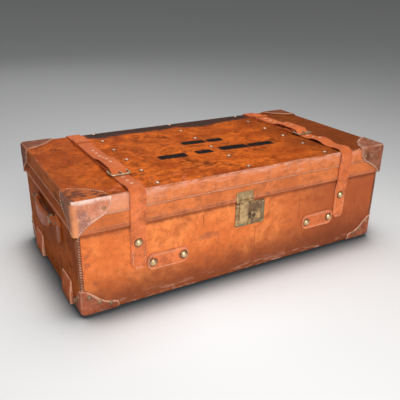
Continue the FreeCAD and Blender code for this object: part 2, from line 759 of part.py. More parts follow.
def buckle_tongue(x, buckle):
    """The prong: an eye on the heel bar and a round rod that rests on the front bar."""
    heel = Vector(x, buckle + at.buckle_length / 2 - at.buckle_wire, at.bar_z)
    reach = at.buckle_length - 2 * at.buckle_wire
    rise = at.buckle_wire + at.strap_gap + at.tongue_rod
    aim = Vector(0, -reach, rise).normalize()
    start = heel + aim * (at.tongue_eye - 1)
    length = reach + at.tongue_overhang - at.tongue_eye + 1
    half = Vector(at.tongue_width / 2, 0, 0)
    eye = Part.makeCylinder(at.tongue_eye, at.tongue_width, heel - half, Vector(1, 0, 0))
    prong = Part.makeCylinder(at.tongue_rod, length, start, aim)
    tip = Part.makeSphere(at.tongue_rod, start + aim * length)
    bore = Part.makeCylinder(at.buckle_wire + at.pin_clearance, at.tongue_width, heel - half, Vector(1, 0, 0))
    return eye.fuse([prong, tip]).cut(bore).removeSplitter()


def keeper(x, place):
    """A leather loop over the strap's two layers, sewn down at both sides."""
    inner = at.strap_width / 2 + at.side_play
    outer = inner + at.keeper_leather
    lid = at.height
    head = at.land_z + at.strap_leather + at.side_play
    loop = Part.makeBox(2 * outer, at.keeper_length, head + at.keeper_leather - lid,
                        Vector(x - outer, place, lid))
    loop = loop.makeFillet(at.keeper_leather / 2, [edge for edge in loop.Edges if runs_along(edge, Y_AXIS)
                                                   and edge.CenterOfMass.z > head])
    return loop.cut(Part.makeBox(2 * inner, at.keeper_length, head - lid, Vector(x - inner, place, lid)))


front_anchors = []
rear_anchors = []
keepers = []
for side, x, buckle, humped, loop_y in (("left", -at.strap_offset, -at.left_buckle, False, at.left_keeper),
                                        ("right", at.strap_offset, -at.right_buckle, True, at.right_keeper)):
    front_anchors.append(strap_anchor(x, -1, at.strap_tail_z, at.strap_fold_z))
    rear_anchors.append(strap_anchor(x, 1, at.rear_tail_z, at.edge_z - at.rear_strap_break / 2))
    node(f"strap_drop_{side}", shaped(f"drop_{side}", strap_drop(x)))
    whole_billet = billet(x, buckle, humped)
    reach = at.lid_depth
    front_part = Part.makeBox(at.strap_width, reach, 2 * reach,
                              Vector(x - at.strap_width / 2, -at.strap_split - reach, 0))
    node(f"strap_span_{side}", shaped(f"span_{side}", whole_billet.common(front_part)))
    node(f"strap_tip_{side}", shaped(f"tip_{side}", whole_billet.cut(front_part)))
    node(f"rear_strap_{side}", shaped(f"rear_{side}", rear_strap(x, buckle)))
    node(f"buckle_frame_{side}", shaped(f"frame_{side}", buckle_frame(x, buckle)))
    node(f"buckle_tongue_{side}", shaped(f"tongue_{side}", buckle_tongue(x, buckle)))
    keepers.append(keeper(x, loop_y))
node("strap_anchors", shaped("front_anchor_pair", Part.makeCompound(front_anchors)))
node("rear_strap_anchors", shaped("rear_anchor_pair", Part.makeCompound(rear_anchors)))
node("strap_keepers", shaped("keeper_pair", Part.makeCompound(keepers)))

# Tabs on the front, each riveted beside a strap

tab = block("tab_blank", ("-tab_inner - tab_length", "-tab_inner"), ("-strap_face", "-base_y"),
            ("tab_z - tab_height / 2", "tab_z + tab_height / 2"))
left_tab = rounded("left_tab", tab, at.tab_round, lambda edge: runs_along(edge, Y_AXIS))
node("front_tabs", group("tab_pair", left_tab, mirror("right_tab", left_tab, X_AXIS)))

# Lock: plate, case behind it, and the nozzle that slides the bolt

plate_blank = block("plate_blank", span("lock_width / 2"), ("-plate_face", "-base_y"),
                    ("lock_z - lock_height / 2", "lock_z + lock_height / 2"))
plate_round = rounded("plate_round", plate_blank, at.lock_corner, lambda edge: runs_along(edge, Y_AXIS))
tongue_middle = "(hasp_width / 2 - hasp_left)"
nib_foot = "(hasp_tongue_foot + hasp_nib_lift)"
nib_slot = block("nib_slot",
                 (f"{tongue_middle} - hasp_nib_width / 2 - side_play",
                  f"{tongue_middle} + hasp_nib_width / 2 + side_play"),
                 ("-plate_face", "-base_y"), (f"{nib_foot} - side_play", "lock_z + lock_height / 2"))
node("lock_plate", cut("plate", plate_round, nozzle_slot, nib_slot))
case_blank = block("case_blank", lock_case_x, ("-board_y", "-inner_y"), lock_case_z)
case_hollow = block("case_hollow", span("case_width / 2 - case_wall"), ("-board_y", "-inner_y - case_wall"),
                    ("nozzle_z - bolt_height / 2 - side_play", "nozzle_z + bolt_height / 2 + side_play"))
node("lock_case", cut("case", case_blank, case_hollow))


def lock_nozzle():
    """The round knob with its keyhole, its shank through the plate and the bolt inside the case."""
    centre = Vector(at.nozzle_x, -at.plate_face - at.strap_gap, at.nozzle_z)
    outward = Vector(0, -1, 0)
    flange = Part.makeCylinder(at.nozzle_flange, at.nozzle_flange_thickness, centre, outward)
    knob = Part.makeCylinder(at.nozzle_knob, at.nozzle_height, centre, outward)
    front_edges = [edge for edge in knob.Edges if edge.CenterOfMass.y < centre.y - at.nozzle_height + 0.01]
    knob = knob.makeFillet(at.nozzle_height / 3, front_edges)
    bolt_face = -at.board_y + at.strap_gap
    shank = Part.makeCylinder(at.nozzle_shank, bolt_face - centre.y + at.bolt_thickness / 2, centre,
                              Vector(0, 1, 0))
    bolt = Part.makeBox(at.bolt_length, at.bolt_thickness, at.bolt_height,
                        Vector(at.nozzle_x - at.bolt_length / 2, bolt_face, at.nozzle_z - at.bolt_height / 2))
    mouth = centre + outward * (at.nozzle_height - at.keyhole_depth)
    hole = Part.makeCylinder(at.keyhole_round, at.keyhole_depth, mouth, outward)
    slit = Part.makeBox(at.keyhole_slit, at.keyhole_depth, 2.6 * at.keyhole_round,
                        mouth + Vector(-at.keyhole_slit / 2, -at.keyhole_depth, -2.6 * at.keyhole_round))
    return flange.fuse([knob, shank, bolt]).cut([hole, slit]).removeSplitter()


node("lock_nozzle", shaped("nozzle", lock_nozzle()))

# Hasp: a plate on the lid's front and the tongue that hangs from it over the lock plate

hasp_x = ("-hasp_left", "-hasp_left + hasp_width")
hasp_face = ("-skirt_y - hasp_plate", "-skirt_y")
hasp_blank = block("hasp_blank", hasp_x, hasp_face, ("hasp_axis_z", "edge_z + hasp_height"))
hasp_round = rounded("hasp_round", hasp_blank, at.hasp_corner,
                     lambda edge: runs_along(edge, Y_AXIS) and edge.CenterOfMass.z > at.edge_z + 1)
tongue_gap = block("tongue_gap",
                   (f"{tongue_middle} - hasp_tongue_width / 2 - side_play",
                    f"{tongue_middle} + hasp_tongue_width / 2 + side_play"),
                   ("-hasp_axis_y - hasp_knuckle", "-hasp_axis_y + hasp_knuckle"),
                   ("hasp_axis_z - hasp_knuckle", "hasp_axis_z + hasp_knuckle + side_play"))
hasp_axis = ("-hasp_left", "-hasp_axis_y", "hasp_axis_z")
hasp_barrel = rod("hasp_barrel", "hasp_knuckle", "hasp_width", hasp_axis, "x")
hasp_pin = rod("hasp_pin", "hasp_pin", "hasp_width", hasp_axis, "x")
hasp_body = cut("hasp_body", fuse("hasp_solid", hasp_round, hasp_barrel), tongue_gap)
node("hasp_plate", fuse("hasp", hasp_body, hasp_pin))
tongue_x = (f"{tongue_middle} - hasp_tongue_width / 2", f"{tongue_middle} + hasp_tongue_width / 2")
tongue_back = "-plate_face - strap_gap"
tongue_blank = block("tongue_blank", tongue_x, (f"{tongue_back} - hasp_tongue_thickness", tongue_back),
                     ("hasp_tongue_foot", "hasp_axis_z - 1"))
tongue_end = at.hasp_tongue_foot + 0.01
tongue_round = rounded("tongue_round", tongue_blank, at.hasp_corner,
                       lambda edge: runs_along(edge, Y_AXIS) and edge.CenterOfMass.z < tongue_end)
tongue_barrel = rod("tongue_barrel", "hasp_knuckle", "hasp_tongue_width",
                    (tongue_x[0], "-hasp_axis_y", "hasp_axis_z"), "x")
tongue_bore = rod("tongue_bore", "hasp_pin + pin_clearance", "hasp_tongue_width",
                  (tongue_x[0], "-hasp_axis_y", "hasp_axis_z"), "x")
nib = block("nib", (f"{tongue_middle} - hasp_nib_width / 2", f"{tongue_middle} + hasp_nib_width / 2"),
            (tongue_back, f"{tongue_back} + hasp_nib_depth"), (nib_foot, f"{nib_foot} + hasp_nib_height"))
tongue_solid = fuse("tongue_solid", tongue_round, tongue_barrel, nib)
node("hasp_tongue", cut("tongue_cut", tongue_solid, tongue_bore))

# Handles: leather grips that swing on brass pins held in leather chapes


def grip_section(y, x, z, thick, tall):
    """A rounded rectangle across the grip."""
    r = 0.45 * thick
    a = thick / 2 - r
    b = tall / 2 - r
    q = r * cos(pi / 4)
    arcs = []
    for sx, sz in ((1, 1), (-1, 1), (-1, -1), (1, -1)):
        start, end = ((sx * (a + r), sz * b), (sx * a, sz * (b + r)))
        middle = (sx * (a + q), sz * (b + q))
        places = [start, middle, end] if sx * sz > 0 else [end, middle, start]
        arcs.append([Vector(x + u, y, z + w) for u, w in places])
    edges = []
    for arc, following in zip(arcs, arcs[1:] + arcs[:1]):
        edges.append(Part.Arc(*arc).toShape())
        edges.append(Part.LineSegment(arc[2], following[0]).toShape())
    return Part.Wire(edges)


def handle():
    """The left grip: a bowed, sagging strap of leather with an eye at each end."""
    half = at.handle_span / 2
    hold = half - at.handle_eye_length / 2
    sections = []
    for share in (-1, -0.8, -0.55, -0.28, 0, 0.28, 0.55, 0.8, 1):
        swell = sqrt(cos(share * pi / 2))
        tall = at.handle_end_height + (at.handle_grip_height - at.handle_end_height) * swell
        sections.append(grip_section(share * hold, -at.handle_x - at.handle_bow * swell,
                                     at.handle_z - at.handle_sag * swell, at.handle_grip_thickness, tall))
    solid = Part.makeLoft(sections, True, True)
    for end in (-1, 1):
        start = Vector(-at.handle_x, end * half - (at.handle_eye_length if end > 0 else 0), at.handle_z)
        solid = solid.fuse(Part.makeCylinder(at.handle_eye, at.handle_eye_length, start, Vector(0, 1, 0)))
    for end in (-1, 1):
        start = Vector(-at.handle_x, end * half - (at.handle_eye_length if end > 0 else 0), at.handle_z)
        solid = solid.cut(Part.makeCylinder(at.handle_pin + at.pin_clearance, at.handle_eye_length, start,
                                            Vector(0, 1, 0)))
    return solid.removeSplitter()


left_handle = node("handle_left", shaped("left_handle", handle()))
node("handle_right", mirror("right_handle", left_handle, X_AXIS))
chape_end = "-handle_span / 2 - side_play"
chape_start = f"{chape_end} - chape_width"
neck_start = f"{chape_start} + chape_neck_inset"
neck_width = "chape_width - chape_neck_inset"
chape_blank = block("chape_blank", ("-base_x - chape_pad", "-base_x"), (chape_start, chape_end),
                    ("chape_foot_z", "handle_z + chape_rise"))
chape_outside = -at.handle_span / 2 - at.side_play - at.chape_width
chape_pad = rounded("chape_pad", chape_blank, at.chape_round,
                    lambda edge: runs_along(edge, X_AXIS) and edge.CenterOfMass.y < chape_outside + 0.01)
chape_back = rounded("chape_back", chape_pad, at.chape_edge,
                     lambda edge: edge.BoundBox.XMax < -at.base_x - at.chape_pad + 0.01)
chape_neck = block("chape_neck", ("-handle_x", "-base_x"), (neck_start, chape_end),
                   ("handle_z - handle_pin - chape_leather", "handle_z + handle_pin + chape_leather"))
neck_axis = ("-handle_x", neck_start, "handle_z")
chape_loop = rod("chape_loop", "handle_pin + chape_leather", neck_width, neck_axis, "y")
chape_bore = rod("chape_bore", "handle_pin + pin_clearance", neck_width, neck_axis, "y")
front_chape = cut("front_chape", fuse("chape_solid", chape_back, chape_neck, chape_loop), chape_bore)
rear_chape = mirror("rear_chape", front_chape, Y_AXIS)
left_chapes = node("handle_chapes_left", group("left_chapes", front_chape, rear_chape))
node("handle_chapes_right", mirror("right_chapes", left_chapes, X_AXIS))
first_pin = rod("first_pin", "handle_pin", f"{neck_width} + side_play + handle_eye_length", neck_axis, "y")
pins_left = group("pins_left", first_pin, mirror("second_pin", first_pin, Y_AXIS))
node("handle_pins", group("pin_set", pins_left, mirror("pins_right", pins_left, X_AXIS)))

# Hinges: three butts on the back, with their knuckles outside the lid's edge


def hinge_leaf(places, knuckles, x, gaps):
    """A leaf drawn in side view, with its knuckles, cut away where the other leaf's knuckles turn."""
    leaf = side_face(lines(*[point(*place) for place in places + places[:1]]))
    leaf = leaf.translated(Vector(x - at.hinge_width / 2, 0, 0)).extrude(Vector(at.hinge_width, 0, 0))
    axis = Vector(0, at.hinge_y, at.edge_z)
    clear = at.hinge_knuckle + at.side_play
    leaf = leaf.cut([Part.makeCylinder(clear, high - low, axis + Vector(x + low, 0, 0), Vector(1, 0, 0))
                     for low, high in gaps])
    leaf = leaf.fuse([Part.makeCylinder(at.hinge_knuckle, high - low, axis + Vector(x + low, 0, 0),
                                        Vector(1, 0, 0)) for low, high in knuckles])
    bore = Part.makeCylinder(at.hinge_pin + at.pin_clearance, at.hinge_width,
                             axis + Vector(x - at.hinge_width / 2, 0, 0), Vector(1, 0, 0))
    return leaf.cut(bore).removeSplitter()


half_hinge = at.hinge_width / 2
middle_knuckle = at.hinge_width / 4
outer_knuckles = [(-half_hinge, -middle_knuckle - at.side_play), (middle_knuckle + at.side_play, half_hinge)]
inner_knuckles = [(-middle_knuckle, middle_knuckle)]
outer_gaps = [(-half_hinge, -middle_knuckle), (middle_knuckle, half_hinge)]
inner_gaps = [(-middle_knuckle - at.side_play, middle_knuckle + at.side_play)]
base_leaf_foot = at.edge_z - at.hinge_leaf_height - at.hinge_knuckle
base_leaf_face = at.base_y + at.hinge_leaf
base_leaf = [(at.base_y, base_leaf_foot), (base_leaf_face, base_leaf_foot),
             (base_leaf_face, at.edge_z - 2.4 * at.hinge_knuckle), (at.hinge_y, at.edge_z - at.hinge_knuckle),
             (at.hinge_y, at.edge_z), (at.base_y, at.edge_z - 1.4 * at.hinge_knuckle)]
lid_leaf_face = at.skirt_y + at.hinge_leaf
lid_leaf = [(at.skirt_y, at.edge_z + at.hinge_knuckle / 2), (at.hinge_y, at.edge_z),
            (at.hinge_y, at.edge_z + at.hinge_knuckle),
            (lid_leaf_face, at.edge_z + 1.8 * at.hinge_knuckle),
            (lid_leaf_face, at.edge_z + at.hinge_leaf_height),
            (at.skirt_y, at.edge_z + at.hinge_leaf_height)]
hinge_places = [-at.hinge_spacing, 0, at.hinge_spacing]
node("hinge_base_leaves", shaped("base_leaf_set", Part.makeCompound(
    [hinge_leaf(base_leaf, outer_knuckles, x, inner_gaps) for x in hinge_places])))
node("hinge_lid_leaves", shaped("lid_leaf_set", Part.makeCompound(
    [hinge_leaf(lid_leaf, inner_knuckles, x, outer_gaps) for x in hinge_places])))
node("hinge_pins", shaped("hinge_pin_set", Part.makeCompound(
    [Part.makeCylinder(at.hinge_pin, at.hinge_width, Vector(x - half_hinge, at.hinge_y, at.edge_z),
                       Vector(1, 0, 0)) for x in hinge_places])))

# Every piece is sound before any is written

doc.recompute()
for piece in doc.Objects:
    if "Invalid" in piece.State or "Error" in piece.State:
        raise RuntimeError(f"{piece.Label} failed: {piece.State}")
for label, piece in nodes.items():
    if piece.Shape.isNull() or not piece.Shape.isValid() or not piece.Shape.Solids:
        raise RuntimeError(f"{label} is not a sound solid")
os.makedirs("parts", exist_ok=True)
for label, piece in nodes.items():
    piece.Shape.exportStep(f"parts/{label}.step")
    box = piece.Shape.BoundBox
    print(f"{label}: {len(piece.Shape.Solids)} solids, x {box.XMin:.1f} {box.XMax:.1f}, "
          f"y {box.YMin:.1f} {box.YMax:.1f}, z {box.ZMin:.1f} {box.ZMax:.1f}")
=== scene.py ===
import math

import bmesh
import bpy
from mathutils import Matrix, Vector, kdtree, noise


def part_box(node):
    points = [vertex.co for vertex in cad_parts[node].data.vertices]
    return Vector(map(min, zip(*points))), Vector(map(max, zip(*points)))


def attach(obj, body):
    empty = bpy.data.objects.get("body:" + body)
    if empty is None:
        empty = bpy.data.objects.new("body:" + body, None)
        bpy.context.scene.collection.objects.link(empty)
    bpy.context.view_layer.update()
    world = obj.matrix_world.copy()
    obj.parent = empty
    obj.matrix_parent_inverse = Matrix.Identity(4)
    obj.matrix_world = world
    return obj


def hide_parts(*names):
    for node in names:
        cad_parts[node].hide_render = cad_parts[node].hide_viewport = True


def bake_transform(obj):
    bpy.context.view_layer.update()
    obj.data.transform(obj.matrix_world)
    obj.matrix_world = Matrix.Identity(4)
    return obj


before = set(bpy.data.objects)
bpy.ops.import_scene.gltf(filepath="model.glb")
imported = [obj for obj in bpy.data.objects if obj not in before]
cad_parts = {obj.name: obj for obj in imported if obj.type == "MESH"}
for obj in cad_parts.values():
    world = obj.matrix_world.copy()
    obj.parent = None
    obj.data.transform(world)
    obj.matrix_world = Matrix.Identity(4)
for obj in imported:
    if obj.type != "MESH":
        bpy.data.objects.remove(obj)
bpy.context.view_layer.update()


# Boards of the base and lid
# Sawn pine, nailed into a box and a shallow lid, with battens across the lid and runners below the base.
# They show only at the rim, inside the lid and from underneath.

def node_in(tree, kind, inputs=(), **settings):
    """Add a shader node: an input given a mark is linked, any other value is set on it."""
    made = tree.nodes.new(kind)
    for name, value in settings.items():
        setattr(made, name, value)
    for name, value in dict(inputs).items():
        if isinstance(value, Mark):
            tree.links.new(value.socket, made.inputs[name])
        else:
            made.inputs[name].default_value = value
    return made


class Mark:
    """A value or a colour that varies over a surface; working with it adds shader nodes."""

    def __init__(self, tree, socket):
        self.tree, self.socket = tree, socket

    def node(self, kind, inputs=(), output=0, **settings):
        return Mark(self.tree, node_in(self.tree, kind, inputs, **settings).outputs[output])

    def maths(self, operation, other=0.0):
        return self.node("ShaderNodeMath", {0: self, 1: other}, operation=operation)

    def __add__(self, other):
        return self.maths("ADD", other)

    def __sub__(self, other):
        return self.maths("SUBTRACT", other)

    def __rsub__(self, other):
        return self.node("ShaderNodeMath", {0: other, 1: self}, operation="SUBTRACT")

    def __mul__(self, other):
        return self.maths("MULTIPLY", other)

    def __abs__(self):
        return self.maths("ABSOLUTE")

    def hypot(self, other):
        """The length of the slope whose two legs are given."""
        return (self * self + other * other).maths("SQRT")

    def between(self, low, high):
        """A smooth mask that rises from 0 to 1 as the value goes from low to high."""
        return self.node("ShaderNodeMapRange", {"Value": self, "From Min": low, "From Max": high}, "Result",
                         interpolation_type="SMOOTHSTEP")

    def mix(self, under, over):
        """One colour where the mask is 0, and another where it is 1."""
        under, over = ((*end, 1) if isinstance(end, tuple) else end for end in (under, over))
        return self.node("ShaderNodeMix", {0: self, 6: under, 7: over}, 2, data_type="RGBA")

    def cloud(self, scale, detail=4.0, roughness=0.55, distortion=0.0):
        """Soft irregular variation over the surface, drawn out where there is a scale for each axis."""
        place, size = self, scale
        if isinstance(scale, tuple):
            place, size = self.node("ShaderNodeMapping", {"Vector": self, "Scale": scale}), 1.0
        return self.node("ShaderNodeTexNoise", {"Vector": place, "Scale": size, "Detail": detail,
                                                "Roughness": roughness, "Distortion": distortion})

    def split(self):
        """The three coordinates, one by one."""
        parts = node_in(self.tree, "ShaderNodeSeparateXYZ", {0: self}).outputs
        return [Mark(self.tree, part) for part in parts]


def on_piece(tree):
    """Coordinates in metres that stay with the piece when it moves."""
    return Mark(tree, node_in(tree, "ShaderNodeTexCoord").outputs["Object"])


def surface(name, roughness=0.6, metallic=0.0, specular=0.5, sheen=0.0):
    """A new material, its shader, and the coordinates from which its pattern is made."""
    material = bpy.data.materials.new(name)
    material.use_nodes = True
    shader = material.node_tree.nodes["Principled BSDF"]
    for key, value in {"Roughness": roughness, "Metallic": metallic, "Specular IOR Level": specular,
                       "Sheen Weight": sheen}.items():
        shader.inputs[key].default_value = value
    return material, shader, on_piece(material.node_tree)


def finished(shader, colour, roughness, height, relief):
    """Feed a pattern's colour, roughness and height to a material's shader."""
    bump = height.node("ShaderNodeBump", {"Height": height, "Distance": relief, "Strength": 1.0})
    for key, mark in {"Base Color": colour, "Roughness": roughness, "Normal": bump}.items():
        colour.tree.links.new(mark.socket, shader.inputs[key])


def dress(material, *names):
    """Give CAD pieces, whose shape is right as it is, a finished material."""
    for name in names:
        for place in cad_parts[name].material_slots:
            place.material = material


pine, shader, place = surface("sawn_pine", specular=0.3)
rings = place.cloud((7.2, 84.0, 84.0), 3.0, 0.5, 1.5)
fibre = place.cloud((24.0, 780.0, 780.0), 2.0)
wood = rings.between(0.35, 0.65).mix((0.42, 0.27, 0.14), (0.3, 0.17, 0.075))
wood = fibre.between(0.45, 0.8).mix(wood, (0.2, 0.11, 0.05))
finished(shader, wood, fibre.between(-0.9, 0.9), fibre, 0.0004)
dress(pine, "base_side_boards", "base_end_boards", "base_bottom_board", "lid_top_board", "lid_rails",
      "lid_battens", "runners")


# Lining of the base and lid
# Buff linen pasted over the boards inside, in one piece each for the base and the lid.
# It is marked here and there with brown stains.

linen, shader, place = surface("buff_linen", roughness=0.9, specular=0.2, sheen=0.2)
threads = place.cloud((900.0, 60.0, 60.0), 1.0) + place.cloud((60.0, 900.0, 900.0), 1.0)
cloth = threads.between(0.7, 1.3).mix((0.4, 0.31, 0.2), (0.55, 0.45, 0.31))
cloth = place.cloud(7.0, 6.0, 0.6).between(0.5, 0.75).mix(cloth, (0.3, 0.2, 0.1))
finished(shader, cloth, threads.between(-2.0, 1.0), threads, 0.0003)
dress(linen, "base_lining", "lid_lining")


# Leather panels of the base
# Thick tanned hide, one panel to each side, pasted to the boards and sewn through at the upright corners.
# The front has weathered to orange tan with rubs, folds and scuffs; the ends are darker from handling.

def new_pattern(name, colours, values, results=("Colour", "Roughness", "Height")):
    """A node group for a finish, the coordinates in it, and the colours and values that it is given."""
    group = bpy.data.node_groups.new(name, "ShaderNodeTree")
    for way, keys in (("INPUT", colours + values), ("OUTPUT", results)):
        for key in keys:
            kind = "Color" if key in colours or key == "Colour" else "Float"
            group.interface.new_socket(name=key, in_out=way, socket_type=f"NodeSocket{kind}")
    given = group.nodes.new("NodeGroupInput").outputs
    return group, on_piece(group), [Mark(group, given[key]) for key in colours + values]


def put_out(**results):
    """Lead results out of their node group under their names."""
    group = results["Colour"].tree
    ends = group.nodes.new("NodeGroupOutput").inputs
    for key, mark in results.items():
        group.links.new(mark.socket, ends[key])


def placed(group, place, given):
    """The results of a node group set in a material with colours and values of its own."""
    given = {key: (*value, 1) if isinstance(value, tuple) else value for key, value in given.items()}
    results = node_in(place.tree, "ShaderNodeGroup", given, node_tree=group).outputs
    return [Mark(place.tree, result) for result in results]


def marked(colour, *marks):
    """A colour with marks laid over it one after the other, each a mask and a colour."""
    for mask, over in marks:
        colour = mask.mix(colour, over)
    return colour


tanned_hide, place, given = new_pattern("tanned_hide", ("Colour", "Deep", "Stain", "Worn"),
                                        ("Wear", "Staining", "Scratching"))
plain, deep, stain, worn, wear, staining, scratching = given
broad = place.cloud(7.0, 6.0, 0.62, 0.8)
blotch = place.cloud(26.0, 7.0, 0.68, 0.5)
mottle = place.cloud(75.0, 6.0, 0.7, 0.4)
speck = place.cloud(170.0, 4.0, 0.65)
drips = place.cloud((46.0, 46.0, 6.0), 5.0, 0.6, 0.6).between(0.62, 0.8)
streak = place.cloud((10.0, 320.0, 190.0), 3.0, 0.7, 0.4).between(0.68, 0.75)
cross = place.cloud((280.0, 45.0, 16.0), 3.0, 0.7, 0.9).between(0.7, 0.77)
cells = place.node("ShaderNodeTexVoronoi", {"Vector": place, "Scale": 420.0, "Randomness": 1.0}, "Distance",
                   feature="DISTANCE_TO_EDGE")
soil = (blotch + broad).between(0.98, 1.32) * staining + drips * staining * 0.45
soil = (soil + speck.between(0.58, 0.7) * staining * 0.75).maths("MINIMUM", 1.0)
scratch = streak.maths("MAXIMUM", cross) * scratching
rub = (wear + (blotch - 0.5) * 1.8).between(0.35, 1.0)
colour = marked(broad.between(0.34, 0.62).mix(deep, plain),
                (blotch.between(0.44, 0.7) * 0.75, deep),
                (mottle.between(0.48, 0.68) * (staining * 0.5 + 0.15), stain),
                (soil, stain), (rub * 0.72, worn), (scratch * 0.5, worn))
put_out(Colour=colour, Roughness=blotch * 0.3 + 0.4 + rub * 0.16,
        Height=cells.between(0.0, 0.16) * 0.35 + speck * 0.6 - scratch * 0.35 + blotch * 0.8)


def wear_on(place):
    """How worn the piece is at each point, as it was stored with the mesh."""
    return place.node("ShaderNodeAttribute", (), "Fac", attribute_name="wear")


def patterned(name, group, given, **look):
    """A material with a group's pattern in its own colours, ready for more marks before it is finished."""
    material, shader, place = surface(name, **look)
    return material, shader, place, placed(group, place, {"Wear": wear_on(place), **given})


def open_hide(name, colour, deep, stain, worn, staining, scratching, specular=0.22):
    """A hide material in its own colours, ready for more marks before it is finished."""
    return patterned(name, tanned_hide, {"Colour": colour, "Deep": deep, "Stain": stain, "Worn": worn,
                                         "Staining": staining, "Scratching": scratching}, specular=specular)


def hide(name, *colours, relief=0.0006, polish=0.0, **look):
    """A hide material in its own colours."""
    material, shader, place, (colour, rough, height) = open_hide(name, *colours, **look)
    finished(shader, colour, rough - polish, height, relief)
    return material


def set_up(name, data):
    """A new object in the scene."""
    made = bpy.data.objects.new(name, data)
    bpy.context.scene.collection.objects.link(made)
    return made


def piece(name, mesh, material, body, slot, *nodes):
    """Put a finished mesh on its body, in place of the CAD pieces that it stands for."""
    made = set_up(name, mesh)
    mesh.name = name
    mesh.materials.clear()
    mesh.materials.append(material)
    mesh.polygons.foreach_set("use_smooth", [True] * len(mesh.polygons))
    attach(made, body)
    if nodes:
        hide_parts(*nodes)
    return made


def store_wear(mesh, wear):
    """Store with a mesh how worn each of its points is."""
    mesh.attributes.new("wear", "FLOAT", "POINT").data.foreach_set("value", wear)


def built(body, wear=None):
    """The mesh of a finished shape, with its wear stored."""
    bmesh.ops.recalc_face_normals(body, faces=body.faces[:])
    mesh = bpy.data.meshes.new("shape")
    body.to_mesh(mesh)
    body.free()
    if wear:
        store_wear(mesh, wear)
    return mesh


def edge_distance(u, v, outline):
    """How far a point of a pattern piece lies from the cut edge."""
    nearest = 1.0
    for (u0, v0), (u1, v1) in zip(outline, outline[1:] + outline[:1]):
        du, dv = u1 - u0, v1 - v0
        share = min(1.0, max(0.0, ((u - u0) * du + (v - v0) * dv) / (du * du + dv * dv)))
        nearest = min(nearest, math.hypot(u - u0 - share * du, v - v0 - share * dv))
    return nearest


def with_edge(sheet, thickness, ease, turns):
    """Give a flat cut sheet its thickness, an eased edge and a back, and tell how high each point stands."""
    sheet.normal_update()
    heights = {vert: thickness for vert in sheet.verts}
    face_points = list(heights)
    rim = [edge for edge in sheet.edges if edge.is_boundary]
    ways = {}
    for edge in rim:
        face = edge.link_faces[0]
        a, b = edge.verts
        away = (b.co - a.co).normalized().cross(face.normal)
        if away.dot(face.calc_center_median() - a.co) > 0:
            away = -away
        for vert in (a, b):
            ways.setdefault(vert, []).append(away)
    push = {}
    for vert, both in ways.items():
        middle = sum(both, Vector()).normalized()
        push[vert] = middle / max(0.6, middle.dot(both[0]))
    angles = [math.pi / 2 * step / turns for step in range(1, turns + 1)]
    levels = [(math.sin(angle), thickness - ease + ease * math.cos(angle)) for angle in angles]
    rings = [{vert: vert for vert in ways}]
    for out, height in levels + [(1.0, 0.0)]:
        rings.append({vert: sheet.verts.new(vert.co + push[vert] * (ease * out)) for vert in ways})
        heights.update({made: height for made in rings[-1].values()})
    below = {vert: sheet.verts.new(vert.co) for vert in face_points}
    heights.update({made: 0.0 for made in below.values()})
    for face in sheet.faces[:]:
        sheet.faces.new([below[vert] for vert in reversed(face.verts)])
    for first, second in zip(rings, rings[1:] + [below]):
        for edge in rim:
            a, b = edge.verts
            sheet.faces.new([first[a], first[b], second[b], second[a]])
    return heights


def drawn_in(outline, inset):
    """The outline of a pattern piece moved inward all round."""
    count = len(outline)
    turning = sum(outline[i - 1][0] * outline[i][1] - outline[i][0] * outline[i - 1][1] for i in range(count))
    side = 1.0 if turning > 0 else -1.0
    line = []
    for index in range(count):
        before, here, after = (Vector(outline[at % count]) for at in (index - 1, index, index + 1))
        runs = [(here - before).normalized(), (after - here).normalized()]
        inward = [side * Vector((-run.y, run.x)) for run in runs]
        middle = (inward[0] + inward[1]).normalized()
        line.append(tuple(here + middle * (inset / max(0.6, middle.dot(inward[0])))))
    return line


def sliced(sheet, axis, at):
    """Cut the faces of a sheet along a plane across one axis."""
    point, normal = [0.0] * 3, [0.0] * 3
    point[axis], normal[axis] = at, 1.0
    bmesh.ops.bisect_plane(sheet, geom=sheet.verts[:] + sheet.edges[:] + sheet.faces[:], dist=1e-7,
                           plane_co=point, plane_no=normal)


def cut_hide(outline, thickness, place, pitch=(0.012, 0.012), ease=0.0012, swell=0.0004, band=0.01, turns=2):
    """A piece of hide cut to an outline and laid in place: its edge is eased and its face a little uneven."""
    sheet = bmesh.new()
    inside = drawn_in(outline, ease)
    sheet.faces.new([sheet.verts.new((u, v, 0.0)) for u, v in inside])
    for axis in (0, 1):
        low, high = (end(corner[axis] for corner in inside) for end in (min, max))
        steps = max(1, round((high - low) / pitch[axis]))
        for step in range(1, steps):
            sliced(sheet, axis, low + (high - low) * step / steps)
    heights = with_edge(sheet, thickness, ease, turns)
    wear = []
    for vert in sheet.verts:
        u, v, lift = vert.co.x, vert.co.y, heights[vert]
        wear.append(max(0.0, 1.0 - edge_distance(u, v, outline) / band))
        if lift > thickness / 2:
            lift += swell * (noise.noise((u * 9, v * 9, thickness * 900)) - 0.5) * (1.0 - wear[-1])
        vert.co = place(u, v, lift)
    return built(sheet, wear)


def upright(half, low, high):
    """The outline of a plain upright panel."""
    return [(-half, low), (half, low), (half, high), (-half, high)]


def along_side(sign, face):
    """Lay a piece on the front or back of the trunk."""
    return lambda u, v, lift: (-sign * u, sign * (face + lift), v)


def along_end(sign, face):
    """Lay a piece on an end of the trunk."""
    return lambda u, v, lift: (sign * (face + lift), sign * u, v)


def ring(body, count, at):
    """A ring of points, each placed by the cosine and sine of its turn."""
    turns = [2 * math.pi * step / count for step in range(count)]
    return [body.verts.new(at(math.cos(turn), math.sin(turn))) for turn in turns]


